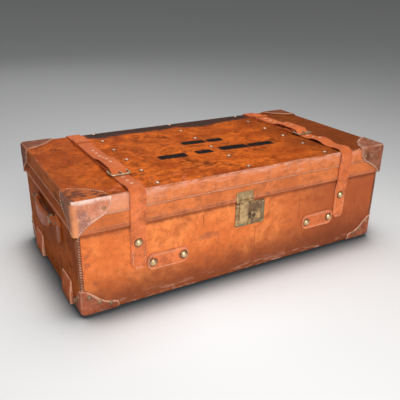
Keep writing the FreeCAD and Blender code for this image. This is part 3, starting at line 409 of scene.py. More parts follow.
def joined(body, rings, closed=False, capped=False):
    """Faces from each ring of points to the next, and over the two ends where that is asked."""
    for first, second in zip(rings, rings[1:] + rings[:1] if closed else rings[1:]):
        for step, point in enumerate(first):
            after = (step + 1) % len(first)
            far = second if len(second) == 1 else [second[after], second[step]]
            body.faces.new([point, first[after], *far])
    if capped:
        body.faces.new(rings[0])
        body.faces.new(rings[-1])


def sewing(name, body, rows, pitch, length, thick, thread, lean=0.0):
    """Hand stitches along each row: short thick threads that dip into the leather at both ends."""
    stitches = bmesh.new()
    slant = math.radians(lean)
    for points, outward in rows:
        outward = Vector(outward)
        ahead = pitch / 2
        for start, end in zip(points, points[1:]):
            run = Vector(end) - Vector(start)
            along = run / run.length
            lay = along * math.cos(slant) + outward.cross(along) * math.sin(slant)
            side = outward.cross(lay)
            while ahead < run.length:
                rings = []
                for share, girth in ((-1.0, 0.3), (-0.72, 0.85), (0.0, 1.0), (0.72, 0.85), (1.0, 0.3)):
                    middle = Vector(start) + along * ahead + lay * (share * length / 2)
                    middle = middle + outward * (thick * (girth - 0.45))
                    size = thick * girth
                    rings.append(ring(stitches, 6, lambda c, s: middle + size * (c * side + s * outward)))
                joined(stitches, rings, capped=True)
                ahead += pitch
            ahead -= run.length
    piece(name, built(stitches), thread, body, "lining_cloth")


base_low, base_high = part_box("base_front_leather")
side_length = base_high.x
front_hide, shader, place, (colour, rough, height) = open_hide(
    "front_hide", (0.92, 0.272, 0.074), (0.7, 0.165, 0.04), (0.3, 0.066, 0.022), (0.66, 0.3, 0.17),
    staining=0.45, scratching=0.4, specular=0.12)
x, _, z = place.split()
ragged = place.cloud(30.0, 6.0, 0.7) - 0.5
ragged_height = z + ragged * 0.09
lip_shadow_line = (z + ragged * 0.012).between(0.1965, 0.203)
# Painted shade over the right half, below the lid and in a thin line under its lip; darker towards the
# bottom.
colour = marked(colour,
                (x.between(-0.02, 0.3) * 0.82, (0.34, 0.07, 0.022)),
                (ragged_height.between(0.125, 0.022) * 0.88, (0.205, 0.05, 0.02)),
                (ragged_height.between(0.188, 0.212) * 0.45, (0.34, 0.085, 0.03)),
                (lip_shadow_line * 0.6, (0.17, 0.036, 0.012)))
# Folds: dark lines painted along the creases as painted shade, since the panel's mesh is not creased.
folds = ((-0.134, 0.15, 0.2, 0.55), (0.021, 0.035, 0.135, 0.5), (0.163, 0.1, 0.2, 0.45),
         (-0.232, 0.05, 0.115, 0.3), (0.372, 0.08, 0.19, 0.4))
for fold, low, high, depth in folds:
    reach = z.between(low, low + 0.02) * z.between(high, high - 0.02)
    crease_shade = abs(x + ragged * 0.01 - fold).between(0.0022, 0.0004)
    colour = (crease_shade * reach * depth).mix(colour, (0.22, 0.05, 0.018))
stipple = place.cloud(520.0, 3.0, 0.6).between(0.36, 0.6) * 0.7 + 0.3
bruises = ((-0.125, 0.134, 0.044, 0.0105, 0.62), (-0.424, 0.157, 0.007, 0.006, 0.6),
           (-0.426, 0.134, 0.009, 0.008, 0.6), (-0.411, 0.0835, 0.01, 0.006, 0.5),
           (0.12, 0.117, 0.03, 0.006, 0.3), (-0.352, 0.196, 0.012, 0.006, 0.5))
for along, up, half_along, half_up, depth in bruises:
    share = ((x - along) * (1 / half_along)).hypot((z - up) * (1 / half_up))
    near = (share + ragged * 1.6).between(1.1, 0.55)
    colour = (near * stipple * depth).mix(colour, (0.26, 0.078, 0.05))
scuffs = place.cloud((22.0, 90.0, 110.0), 6.0, 0.75, 0.4).between(0.5, 0.64)
colour = marked(colour,
                (abs(x).between(side_length - 0.01, side_length - 0.0082) * 0.8, (0.085, 0.026, 0.014)),
                (scuffs * z.between(0.04, 0.012) * 0.7, (0.66, 0.36, 0.26)),
                (place.cloud(11.0, 7.0, 0.72, 0.3).between(0.58, 0.74) * 0.3, (0.55, 0.2, 0.115)))
finished(shader, colour, rough, height, 0.0007)
end_hide = hide("end_hide", (0.47, 0.102, 0.012), (0.27, 0.052, 0.006), (0.085, 0.018, 0.004),
                (0.58, 0.22, 0.1), staining=0.6, scratching=0.4, specular=0.03)
rear_hide = hide("rear_hide", (0.44, 0.115, 0.032), (0.29, 0.065, 0.018), (0.1, 0.028, 0.011),
                 (0.55, 0.24, 0.13), staining=0.6, scratching=0.5)
panel_foot, panel_head = base_low.z, base_high.z
side_face = -base_high.y
hide_thickness = base_high.y - base_low.y
end_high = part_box("base_end_leathers")[1]
corner_ease = 0.0034
outline = upright(side_length, panel_foot, panel_head)
for name, sign, leather in (("front", -1, front_hide), ("rear", 1, rear_hide)):
    mesh = cut_hide(outline, hide_thickness, along_side(sign, side_face), (0.006, 0.006), corner_ease,
                    band=0.006, turns=4)
    piece(f"{name}_panel", mesh, leather, "base", "tan_leather", f"base_{name}_leather")
outline = upright(end_high.y, panel_foot, panel_head)
for name, sign, nodes in (("left_panel", -1, ["base_end_leathers"]), ("right_panel", 1, [])):
    mesh = cut_hide(outline, hide_thickness, along_end(sign, end_high.x - hide_thickness))
    piece(name, mesh, end_hide, "base", "tan_leather", *nodes)
dress(end_hide, "base_bottom_leather")


linen_strand, place, given = new_pattern("linen_strand", ("Clean", "Soiled"), ("Scale", "Low", "High"))
clean, soiled, scale, low, high = given
twist = place.cloud((900.0, 900.0, 700.0), 2.0)
strand = place.cloud(scale, 5.0, 0.7).between(low, high).mix(clean, soiled)
put_out(Colour=strand, Roughness=twist.between(-0.8, 1.2), Height=twist)


def linen_thread(name, specular, **given):
    """Waxed thread, soiled in places."""
    material, shader, place = surface(name, specular=specular)
    finished(shader, *placed(linen_strand, place, given), 0.0003)
    return material


waxed_thread = linen_thread("waxed_thread", 0.25, Clean=(0.78, 0.52, 0.37), Soiled=(0.4, 0.19, 0.11),
                            Scale=30.0, Low=0.46, High=0.7)
dirty_thread = linen_thread("dirty_thread", 0.2, Clean=(0.6, 0.34, 0.23), Soiled=(0.2, 0.085, 0.045),
                            Scale=45.0, Low=0.38, High=0.62)
stitch_pitch = 0.0064
corner_seam = side_length - 0.0046
seam_foot, seam_head = 0.066, 0.208
base_front = -(side_face + hide_thickness)
seam_rows = [([(along, -sign * base_front, up) for up in (seam_foot, seam_head)], (0, sign, 0))
             for sign in (-1, 1) for along in (-corner_seam, corner_seam)]
sewing("corner_seams", "base", seam_rows, stitch_pitch, length=0.0076, thick=0.0012, thread=dirty_thread,
       lean=52)


# Top leather of the lid
# One large hide drawn over the lid's boards and turned down round its sides, with rounded arrises.
# It is streaked with grime above, with worn bars of black paint and a black stain at the back edge.

def rounded_tray(low, high, radius, pitch, lip, swell):
    """A sheet drawn over a box and turned down its sides, with round arrises and a thin lower edge."""
    tray = bmesh.new()
    for vert in bmesh.ops.create_cube(tray, size=2.0)["verts"]:
        vert.co = (vert.co.x * high.x, vert.co.y * high.y, high.z if vert.co.z > 0 else low.z)
    below = min(tray.faces, key=lambda face: face.calc_center_median().z)
    bmesh.ops.delete(tray, geom=[below], context="FACES_ONLY")
    curve = [radius * share for share in (0.3, 0.55, 0.8)]
    for axis, start in enumerate((radius - high.x, radius - high.y, low.z)):
        end = high[axis] - radius
        steps = max(2, round((end - start) / pitch))
        cuts = [start + (end - start) * step / steps for step in range(steps + 1)]
        cuts += [end + step for step in curve] + [-end - step for step in curve if axis < 2]
        for at in cuts:
            sliced(tray, axis, at)
    rim = [edge for edge in tray.edges if edge.is_boundary]
    outward = {}
    for vert in tray.verts:
        limits = [high[axis] - radius for axis in range(3)]
        core = Vector([max(-limit, min(limit, value)) for limit, value in zip(limits, vert.co)])
        outward[vert] = (vert.co - core).normalized()
        vert.co = core + outward[vert] * radius
    inner = {vert: tray.verts.new(vert.co - outward[vert] * lip)
             for vert in dict.fromkeys(vert for edge in rim for vert in edge.verts)}
    for edge in rim:
        a, b = edge.verts
        tray.faces.new([a, b, inner[b], inner[a]])
    bmesh.ops.recalc_face_normals(tray, faces=tray.faces[:])
    tray.normal_update()
    wear, arris_band, lip_band = [], 0.009, 0.004
    for x, y, z in (vert.co for vert in tray.verts):
        near = sorted((high.x - abs(x), high.y - abs(y), high.z - z))
        wear.append(max(0.0, 1.0 - near[1] / arris_band, 0.75 - (z - low.z) / lip_band))
    for vert, worn in zip(tray.verts, wear):
        vert.co += vert.normal * (swell * (noise.noise(vert.co * 8) - 0.5) * (1.0 - worn))
    return built(tray, wear)


lid_low, lid_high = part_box("lid_top_leather")
lid_top_z = lid_high.z
lid_round = 0.006
lid_hide, shader, place, (colour, rough, height) = open_hide(
    "lid_hide", (0.78, 0.158, 0.014), (0.38, 0.06, 0.004), (0.07, 0.015, 0.003), (0.66, 0.3, 0.18),
    staining=0.8, scratching=0.35, specular=0.04)
x, y, z = place.split()
aside = abs(x)
above = z.between(lid_top_z - 0.006, lid_top_z - 0.002)
on_end = aside.between(lid_high.x - 0.005, lid_high.x - 0.002)
front_side = (1.0 - above) * (1.0 - on_end)
ragged = place.cloud(60.0, 5.0, 0.7) - 0.5
grime = place.cloud((85.0, 150.0, 60.0), 8.0, 0.8, 0.3)
patchy = place.cloud(5.5, 5.0, 0.65, 0.6)
scuffs = place.cloud((26.0, 60.0, 120.0), 7.0, 0.75, 0.5)
streaks = grime.between(0.48, 0.62) * patchy.between(0.32, 0.56) * above * 0.56
fine = place.cloud((190.0, 420.0, 90.0), 4.0, 0.75).between(0.5, 0.66) * above * 0.6
shaded = place.cloud(3.2, 4.0, 0.55, 0.5).between(0.44, 0.62) * above * 0.42
# Painted shade: the top is coloured darker towards its right end, and a little towards its left end.
side_shade = (x.between(0.14, 0.36) + x.between(-0.3, -0.45) * 0.3) * above * 0.78
blush = place.cloud(40.0, 6.0, 0.75).between(0.52, 0.66) * above * y.between(-0.13, -0.185)
blush = blush * (x + 0.16).between(0.16, 0.03) * 0.5
# Paler colours for the turned-down front side; the top keeps the darker ones, partly as painted shade.
pale_sides = place.cloud(34.0, 7.0, 0.72, 0.4).between(0.4, 0.68).mix((0.74, 0.215, 0.07), (0.5, 0.13, 0.042))
near_cap = x.between(-0.2, -0.34) * y.between(0.0, -0.1) * front_side * 0.45
dull_ends = place.cloud((30.0, 30.0, 90.0), 6.0, 0.7).between(0.4, 0.66)
dull_ends = dull_ends.mix((0.48, 0.115, 0.018), (0.22, 0.048, 0.008))
handled = (y + ragged * 0.06).between(-0.212, -0.232) * above * 0.28
arris = z.between(lid_top_z - 0.02, lid_top_z - 0.006) * (y + lid_high.y).between(0.0045, 0.0015)
crazing = place.cloud((330.0, 200.0, 130.0), 4.0, 0.75).between(0.54, 0.7) * patchy.between(0.34, 0.54)
seam_bloom = z.between(lid_low.z + 0.007, lid_low.z + 0.001) * front_side * scuffs.between(0.42, 0.64) * 0.6
back_stain = (y + (patchy - 0.5) * 0.11).between(0.17, 0.192) * aside.between(0.3, 0.262)
back_stain = back_stain * (z + ragged * 0.03).between(lid_top_z - 0.02, lid_top_z - 0.008)
paint = None
bar_corner, bar_slope = 0.0075, 0.05
bars = ((-0.061, 0.012, 0.024, 0.015), (0.017, 0.067, 0.019, 0.0145), (-0.172, -0.092, -0.062, 0.0155),
        (-0.065, -0.015, -0.064, 0.014), (0.01, 0.098, -0.063, 0.0165), (0.1, 0.18, -0.069, 0.015))
for left, right, middle, half_width in bars:
    off = x - (left + right) / 2
    past_x = (abs(off) - ((right - left) / 2 - bar_corner)).maths("MAXIMUM")
    past_y = (abs(y + off * bar_slope - middle) - (half_width - bar_corner)).maths("MAXIMUM")
    stroke = (past_x.hypot(past_y) + ragged * 0.01).between(bar_corner + 0.001, bar_corner - 0.0015)
    paint = stroke if paint is None else paint.maths("MAXIMUM", stroke)
paint = paint * above * place.cloud((120.0, 150.0, 60.0), 5.0, 0.75).between(0.68, 0.6)
colour = marked(colour, (streaks, (0.085, 0.016, 0.003)), (fine, (0.13, 0.028, 0.006)),
                (shaded, (0.26, 0.05, 0.008)), (side_shade, (0.135, 0.032, 0.007)), (blush, (0.72, 0.21, 0.11)),
                (front_side * 0.88, pale_sides), (near_cap, (0.86, 0.4, 0.24)),
                (on_end * (1.0 - above * 0.8) * 0.9, dull_ends), (handled, (0.17, 0.034, 0.006)),
                (arris * scuffs.between(0.38, 0.62) * 0.72, (0.72, 0.36, 0.26)),
                (front_side * scuffs.between(0.48, 0.68) * 0.42, (0.74, 0.38, 0.27)),
                (front_side * crazing * 0.5, (0.8, 0.46, 0.37)), (seam_bloom, (0.66, 0.33, 0.23)),
                (back_stain * grime.between(0.28, 0.4) * 0.92, (0.03, 0.024, 0.022)),
                (paint, (0.012, 0.01, 0.009)))
finished(shader, colour, rough, height, 0.0006)
mesh = rounded_tray(lid_low, lid_high, lid_round, pitch=0.012, lip=0.0013, swell=0.0012)
piece("lid_top", mesh, lid_hide, "lid", "tan_leather", "lid_top_leather")


# Skirts of the lid
# Four strips of hide under the turned-down top leather, standing below the lid as a lip over the base.
# A narrow binding is folded over their lower edge, and the top leather is sewn down to them.

skirt_hide = hide("skirt_hide", (0.74, 0.205, 0.058), (0.56, 0.14, 0.038), (0.3, 0.085, 0.036),
                  (0.64, 0.29, 0.17), staining=0.5, scratching=0.5, specular=0.14)
binding_hide = hide("binding_hide", (0.64, 0.18, 0.062), (0.44, 0.112, 0.038), (0.16, 0.042, 0.018),
                    (0.64, 0.27, 0.15), staining=0.6, scratching=0.8)
skirt_low, skirt_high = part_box("lid_front_skirt")
skirt_thickness = skirt_high.y - skirt_low.y
skirt_face, skirt_end, skirt_foot = -skirt_low.y, skirt_high.x, skirt_low.z
outline = upright(skirt_end, skirt_foot, skirt_high.z)
for name, sign, leather in (("front", -1, skirt_hide), ("rear", 1, rear_hide)):
    mesh = cut_hide(outline, skirt_thickness, along_side(sign, skirt_face - skirt_thickness), swell=0.0002)
    piece(f"{name}_skirt", mesh, leather, "lid", "tan_leather", f"lid_{name}_skirt")
outline = upright(skirt_face - skirt_thickness, skirt_foot, skirt_high.z)
for name, sign, nodes in (("left_skirt", -1, ["lid_end_skirts"]), ("right_skirt", 1, [])):
    mesh = cut_hide(outline, skirt_thickness, along_end(sign, skirt_end - skirt_thickness), swell=0.0002)
    piece(name, mesh, end_hide, "lid", "tan_leather", *nodes)
binding_thickness, binding_top = 0.0008, skirt_foot + 0.0095
binding_inset, end_inset, hasp_gap = 0.004, 0.003, 0.001
hasp_low, hasp_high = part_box("hasp_plate")
hinge_row, hinge_half = [0.19, 0.0, -0.19], 0.032


def binding(name, outline, place):
    """A narrow strip folded over the lower edge of a skirt."""
    mesh = cut_hide(outline, binding_thickness, place, (0.012, 0.0022), ease=0.0003, swell=0.0, band=0.0022)
    piece(name, mesh, binding_hide, "lid", "tan_leather")


breaks = {"front": (-1, [(hasp_low.x - hasp_gap, hasp_high.x + hasp_gap)]),
          "rear": (1, sorted((middle - hinge_half, middle + hinge_half) for middle in hinge_row))}
for name, (sign, gaps) in breaks.items():
    start = -skirt_end + binding_inset
    for index, (left, right) in enumerate(gaps + [(skirt_end - binding_inset, None)]):
        strip = [(start, skirt_foot), (left, skirt_foot), (left, binding_top), (start, binding_top)]
        binding(f"{name}_binding_{index}", strip, lambda u, v, lift: (u, sign * (skirt_face + lift), v))
        start = right
for name, sign in (("left_binding", -1), ("right_binding", 1)):
    binding(name, upright(skirt_face - end_inset, skirt_foot, binding_top), along_end(sign, skirt_end))
seam_z = lid_low.z + 0.0036
seam_reach, seam_depth = 0.385, 0.17
stitch, fine_thread = 0.0042, 0.0006
seam_rows = []
for sign in (-1, 1):
    side_row = [(along, sign * lid_high.y, seam_z) for along in (-seam_reach, seam_reach)]
    end_row = [(sign * lid_high.x, across, seam_z) for across in (-seam_depth, seam_depth)]
    seam_rows += [(side_row, (0, sign, 0)), (end_row, (sign, 0, 0))]
sewing("lid_seams", "lid", seam_rows, stitch_pitch, stitch, fine_thread, waxed_thread)


# Corner caps of the lid and base
# Pieces of hide moulded wet over each corner, so that three flaps lie on the trunk, then sewn and riveted.
# They are scuffed pale at the corner and along the cut edge; those of the base are darker from the ground.

def smooth_curve(points, steps=5):
    """A smooth line through the points of a cut edge."""
    line, last = [], len(points) - 1
    for index in range(last):
        before, start, end, after = (Vector(points[min(last, max(0, index + way))]) for way in (-1, 0, 1, 2))
        for step in range(steps):
            t = step / steps
            line.append(tuple(0.5 * (2 * start + (end - before) * t
                                     + (2 * before - 5 * start + 4 * end - after) * t * t
                                     + (3 * start - before - 3 * end + after) * t ** 3)))
    return line + [tuple(points[-1])]


def moulded(point, radius):
    """A point of a square corner drawn in on to its rounded edges, and the way outward there."""
    core = Vector([max(radius, value) for value in point])
    outward = (Vector(point) - core).normalized()
    return core + outward * radius, outward


def corner_cap(flaps, radius, walls, place, pitch=0.006, ease=0.0012, swell=0.0008, band=0.006):
    """Hide moulded over a corner: each flap is an outline on one of its three faces."""
    cap = bmesh.new()
    for outline in flaps:
        cap.faces.new([cap.verts.new(point) for point in outline])
    for axis in range(3):
        reach = max(point[axis] for outline in flaps for point in outline)
        cuts = [radius * share for share in (0.22, 0.45, 0.7, 1.0)]
        while cuts[-1] + pitch < reach:
            cuts.append(cuts[-1] + pitch)
        for cut in cuts:
            sliced(cap, axis, cut)
    bmesh.ops.remove_doubles(cap, verts=cap.verts[:], dist=1e-6)
    rim = [edge for edge in cap.edges if edge.is_boundary]
    cut_line = kdtree.KDTree(2 * len(rim))
    for index, edge in enumerate(rim):
        cut_line.insert(edge.verts[0].co, 2 * index)
        cut_line.insert((edge.verts[0].co + edge.verts[1].co) / 2, 2 * index + 1)
    cut_line.balance()
    heights = with_edge(cap, 1.0, ease, 1)
    wear = []
    for vert in cap.verts:
        near_cut = max(0.0, 1.0 - cut_line.find(vert.co)[2] / band)
        on_corner = max(0.0, 1.0 - sorted(vert.co)[1] / (1.2 * radius))
        wear.append(min(1.0, max(near_cut, 0.8 * on_corner)))
        outer, outward = moulded(vert.co, radius)
        wall = Vector([outward[axis] * walls[axis] for axis in range(3)])
        depth = 1.0 - heights[vert]
        if 0.0 < depth < 0.5:
            depth = 0.35
        uneven = swell * (noise.noise(vert.co * 60) + 0.3) * (1.0 - near_cut) * (1.0 - depth)
        vert.co = place(*(outer - wall * depth - outward * uneven))
    return built(cap, wear)


old_brass, place, given = new_pattern("old_brass", ("Bright", "Tarnish"), ("Wear", "Dullness"))
bright, tarnish, wear, dullness = given
patch = place.cloud(70.0, 6.0, 0.68, 0.6)
fine = place.cloud(450.0, 4.0, 0.6)
dull = (patch + fine * 0.35).between(0.5, 0.86) * dullness * (1.0 - wear)
put_out(Colour=dull.mix(bright, tarnish), Roughness=dull * 0.3 + 0.28 + fine * 0.12,
        Height=patch + fine * 0.4)


def open_brass(name, bright, tarnish, dullness, metallic=0.85):
    """A brass material in its own state of polish, ready for more marks before it is finished."""
    state = {"Bright": bright, "Tarnish": tarnish, "Dullness": dullness}
    return patterned(name, old_brass, state, metallic=metallic)


def brass(name, *state):
    """A brass material in its own state of polish."""
    material, shader, place, (colour, rough, height) = open_brass(name, *state)
    finished(shader, colour, rough, height, 0.0002)
    return material


def turned(profile, places, segments):
    """A lathe-turned shape, given as radius and height, set at each place with its outward direction."""
    body, wear = bmesh.new(), []
    widest = max(radius for radius, lift in profile)
    closed = profile[0] == profile[-1]
    for point, outward in places:
        pose = Matrix.Translation(point) @ Vector(outward).to_track_quat("Z", "Y").to_matrix().to_4x4()
        rings = []
        for radius, lift in profile[:-1] if closed else profile:
            count = segments if radius > 1e-6 else 1
            wear += [1.0 - radius / widest] * count
            rings.append(ring(body, count, lambda c, s: pose @ Vector((radius * c, radius * s, lift))))
        joined(body, rings, closed)
        if len(rings[-1]) == 1:
            body.faces.new(rings[0][::-1])
    return built(body, wear)


def domed(head, dome, lift=0.0, washer=0.0):
    """The profile of a domed head, on a washer with a rolled rim where it has one."""
    ball = (head * head + dome * dome) / (2 * dome)
    reach = math.atan2(head, ball - dome)
    outline = []
    if washer:
        outline = [(washer, -0.0003), (washer + 0.0002, lift * 0.5), (washer - 0.0003, lift * 0.95),
                   (washer - 0.001, lift), (head + 0.0006, lift * 0.75)]
    outline.append((head, lift * 0.7 if washer else -0.0003))
    return outline + [(ball * math.sin(reach * share), lift + dome - ball + ball * math.cos(reach * share))
                      for share in (1.0, 0.85, 0.68, 0.5, 0.32, 0.15, 0.0)]


def heads(name, body, material, profile, places, segments, *nodes, slot="aged_brass"):
    """A set of turned heads, such as rivets or nails."""
    piece(name, turned(profile, places, segments), material, body, slot, *nodes)


lid_cap_low, lid_cap_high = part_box("lid_cap_rear_right")
cap_looks = {
    "pale_cap": (0.45, (0.8, 0.315, 0.175), (0.58, 0.2, 0.105), (0.32, 0.115, 0.07), (0.9, 0.58, 0.47)),
    "dark_cap": (0.5, (0.33, 0.1, 0.046), (0.2, 0.056, 0.026), (0.06, 0.02, 0.012), (0.56, 0.33, 0.23)),
    "brown_cap": (0.25, (0.27, 0.072, 0.028), (0.16, 0.04, 0.016), (0.06, 0.017, 0.009),
                  (0.52, 0.215, 0.115)),
    "foot_cap": (0.3, (0.42, 0.105, 0.046), (0.26, 0.062, 0.03), (0.1, 0.028, 0.016), (0.72, 0.4, 0.27))}
pebbled_hide, place, given = new_pattern("pebbled_hide", ("Colour", "Worn"), ("Chafing", "Height"),
                                         ("Colour", "Height"))
plain, worn, chafing, height = given
pebble = place.node("ShaderNodeTexVoronoi", {"Vector": place, "Scale": 300.0}, "Distance",
                    feature="SMOOTH_F1")
grainy = pebble.between(0.15, 0.75)
chafed = grainy * place.cloud(50.0, 6.0, 0.7).between(0.42, 0.62) * chafing
put_out(Colour=chafed.mix(plain, worn), Height=height + grainy * 0.8)
cap_hides = {}
for name, (chafing, *colours) in cap_looks.items():
    cap_hides[name], shader, place, (colour, rough, height) = open_hide(
        name, *colours, staining=0.75, scratching=0.9, specular=0.13)
    colour, height = placed(pebbled_hide, place, {"Colour": colour, "Worn": colours[3], "Chafing": chafing,
                                                  "Height": height})
    if name == "pale_cap":
        x, y, z = place.split()
        along, across, down = x + lid_cap_high.x, y + lid_cap_high.y, lid_cap_high.z - z
        bruised = (down * 0.55 + 0.015 - along).between(-0.007, 0.004)
        rubbed = down.between(0.016, 0.006) * place.cloud(55.0, 6.0, 0.7).between(0.36, 0.56) * 0.8
        on_top = place.cloud((40.0, 90.0, 40.0), 6.0, 0.75).between(0.42, 0.6)
        on_end = place.cloud(40.0, 6.0, 0.75).between(0.38, 0.6)
        strip = (along + across).between(0.0185, 0.009) * down.between(0.004, 0.014)
        smooth = place.cloud(30.0, 5.0, 0.6).between(0.4, 0.65)
        colour = marked(
            colour,
            (bruised * place.cloud(60.0, 6.0, 0.75).between(0.34, 0.56) * 0.8, (0.3, 0.135, 0.105)),
            (bruised * place.cloud(210.0, 4.0, 0.7).between(0.57, 0.66) * 0.7, (0.86, 0.62, 0.53)),
            (rubbed, (0.92, 0.68, 0.59)),
            (down.between(0.0046, 0.002), on_top.mix((0.46, 0.105, 0.018), (0.1, 0.026, 0.012))),
            (along.between(0.0044, 0.002) * 0.9, on_end.mix((0.42, 0.135, 0.062), (0.16, 0.048, 0.024))),
            (strip * 0.9, smooth.mix((0.84, 0.33, 0.14), (0.6, 0.215, 0.095))))
    finished(shader, colour, rough, height, 0.0007)
cap_brass = brass("cap_brass", (0.46, 0.3, 0.17), (0.17, 0.095, 0.055), 0.85)
cap_length, cap_depth, cap_tall = 0.091, 0.9, lid_cap_high.z - lid_cap_low.z
cap_wall = 0.003
cap_round = lid_round + cap_wall
seam_inset = 0.055
cap_mouth = 0.97
ogee = smooth_curve([(cap_mouth, 0.0), (0.955, 0.2), (0.9, 0.37), (0.77, 0.52), (0.57, 0.63), (0.37, 0.76),
                     (0.22, 0.89), (0.14, 1.0)])
crown = smooth_curve([(cap_mouth, 0.0), (0.9, 0.3), (0.62, 0.66), (0.27, 0.92), (0.0, 1.0)])
sweep = smooth_curve([(1.0, 0.0), (1.0, 0.3), (0.75, 0.39), (0.55, 0.53), (0.34, 0.78), (0.16, 0.965),
                      (0.0, 1.0)])
foot_low, foot_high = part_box("bottom_cap_rear_right")
foot_length, foot_depth, foot_tall = 0.088, 0.06, foot_high.z - foot_low.z
foot_round = 0.012
rivet_along, rivet_across, rivet_down = 0.0712, 0.064, 0.028
rivet_foot, rivet_rise = 0.005, 0.064


def lid_flaps(shrink=0.0):
    """The three flaps of a lid cap, or the same lines drawn in from the cut edge for the sewing."""
    length, tall = cap_length * (1.0 - shrink), cap_tall * (1.0 - 0.3 * shrink)
    side = [(a * length, 0.0, c * tall) for a, c in ogee]
    end = [(0.0, a * length * cap_depth, c * tall) for a, c in ogee]
    deck = [(a / cap_mouth * side[0][0], b * end[0][1], 0.0) for a, b in crown]
    return side, end, deck


lid_rows, lid_rivets, foot_rivets = [], [], []
tip = [(0, 0, 0)]
corners = {"front_left": (-1, -1, "pale_cap"), "front_right": (1, -1, "dark_cap"),
           "rear_left": (-1, 1, "brown_cap"), "rear_right": (1, 1, "brown_cap")}
for name, (sx, sy, look) in corners.items():
    def on_lid(a, b, c):
        """A place on this corner of the lid, from its tip along, across and down."""
        return Vector((sx * (lid_cap_high.x - a), sy * (lid_cap_high.y - b), lid_cap_high.z - c))

    def on_foot(a, b, c):
        """A place on this corner of the base, from its tip along, across and up."""
        return Vector((sx * (foot_high.x - a), sy * (foot_high.y - b), foot_low.z + c))

    side, end, deck = lid_flaps()
    below = [(0, 0, cap_tall)]
    mesh = corner_cap([tip + side + below, tip + end + below, tip + deck], cap_round, (cap_wall,) * 3, on_lid)
    piece(f"lid_corner_{name}", mesh, cap_hides[look], "lid", "cap_leather", f"lid_cap_{name}")
    side, end, deck = lid_flaps(seam_inset)
    for line, outward in ((side, (0, sy, 0)), (end, (sx, 0, 0)), (deck[3:-3], (0, 0, 1))):
        lid_rows.append(([on_lid(*moulded(point, cap_round)[0]) for point in line], outward))
    lid_rivets += [(on_lid(rivet_along, 0, rivet_down), (0, sy, 0)),
                   (on_lid(0, rivet_across, rivet_down), (sx, 0, 0))]
    side = [(a * foot_length, 0.0, c * foot_tall) for a, c in sweep]
    end = [(0.0, a * foot_depth, c * foot_tall) for a, c in sweep]
    turns = [math.pi / 2 * step / 12 for step in range(13)]
    under = [(foot_length * math.cos(turn), foot_depth * math.sin(turn), 0.0) for turn in turns]
    mesh = corner_cap([tip + side, tip + end, tip + under], foot_round,
                      (cap_wall, cap_wall, panel_foot - foot_low.z), on_foot)
    piece(f"foot_corner_{name}", mesh, cap_hides["foot_cap"], "base", "cap_leather", f"bottom_cap_{name}")
    for share, height in ((0.24, 0.72), (0.5, 0.44), (0.8, 0.26)):
        up = rivet_foot + height * rivet_rise
        foot_rivets += [(on_foot(share * foot_length, 0, up), (0, sy, 0)),
                        (on_foot(0, share * foot_depth, up), (sx, 0, 0))]
sewing("lid_cap_sewing", "lid", lid_rows, pitch=0.0062, length=0.004, thick=fine_thread, thread=waxed_thread)
heads("lid_cap_rivets", "lid", cap_brass, domed(0.004, 0.0017), lid_rivets, 18)
heads("foot_cap_rivets", "base", cap_brass, domed(0.003, 0.0014, 0.0008, 0.0052), foot_rivets, 18)


# Leather blocks on the runner ends
# Thick pads of hide over the ends of the runners, thinned and rounded towards the top.
# They take the knocks when the trunk is stood on its end.

def copied(node):
    """A copy of a CAD piece's mesh in its own place."""
    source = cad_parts[node]
    mesh = source.data.copy()
    mesh.transform(source.matrix_world)
    return mesh


def worked(made):
    """The mesh of an object as its modifiers leave it; the object itself is taken away."""
    bpy.context.view_layer.update()
    mesh = bpy.data.meshes.new_from_object(made.evaluated_get(bpy.context.evaluated_depsgraph_get()))
    bpy.data.objects.remove(made)
    return mesh


def mark_wear(mesh, spread, gain):
    """Store how far each point stands out from its neighbours, so that wear shows on edges and corners."""
    body = bmesh.new()
    body.from_mesh(mesh)
    body.normal_update()
    span = sum(edge.calc_length() for edge in body.edges) / len(body.edges)
    around = [[edge.other_vert(vert) for edge in vert.link_edges] for vert in body.verts]
    bulge = [(vert.co - sum((near.co for near in group), Vector()) / len(group)).dot(vert.normal) / span
             for vert, group in zip(body.verts, around)]
    for _ in range(spread):
        bulge = [sum(bulge[near.index] for near in group) / len(group) for group in around]
    body.free()
    store_wear(mesh, [min(1.0, max(0.0, gain * value)) for value in bulge])


def softened(node, voxel, rounds, keep, spread, gain):
    """A CAD piece as a soft solid: remade in small even faces, with its edges relaxed and its wear stored."""
    made = set_up("soft_solid", copied(node))
    remade = made.modifiers.new("remade", "REMESH")
    remade.mode, remade.voxel_size = "VOXEL", voxel
    eased = made.modifiers.new("eased", "SMOOTH")
    eased.factor, eased.iterations = 0.5, rounds
    made.modifiers.new("fewer", "DECIMATE").ratio = keep
    mesh = worked(made)
    mark_wear(mesh, spread, gain)
    return mesh


pad_hide = hide("pad_hide", (0.62, 0.15, 0.044), (0.4, 0.088, 0.026), (0.13, 0.03, 0.011),
                (0.86, 0.5, 0.36), staining=0.55, scratching=0.6, specular=0.05)
mesh = softened("runner_caps", voxel=0.002, rounds=6, keep=0.5, spread=1, gain=15.0)
piece("runner_pads", mesh, pad_hide, "base", "dark_leather", "runner_caps")
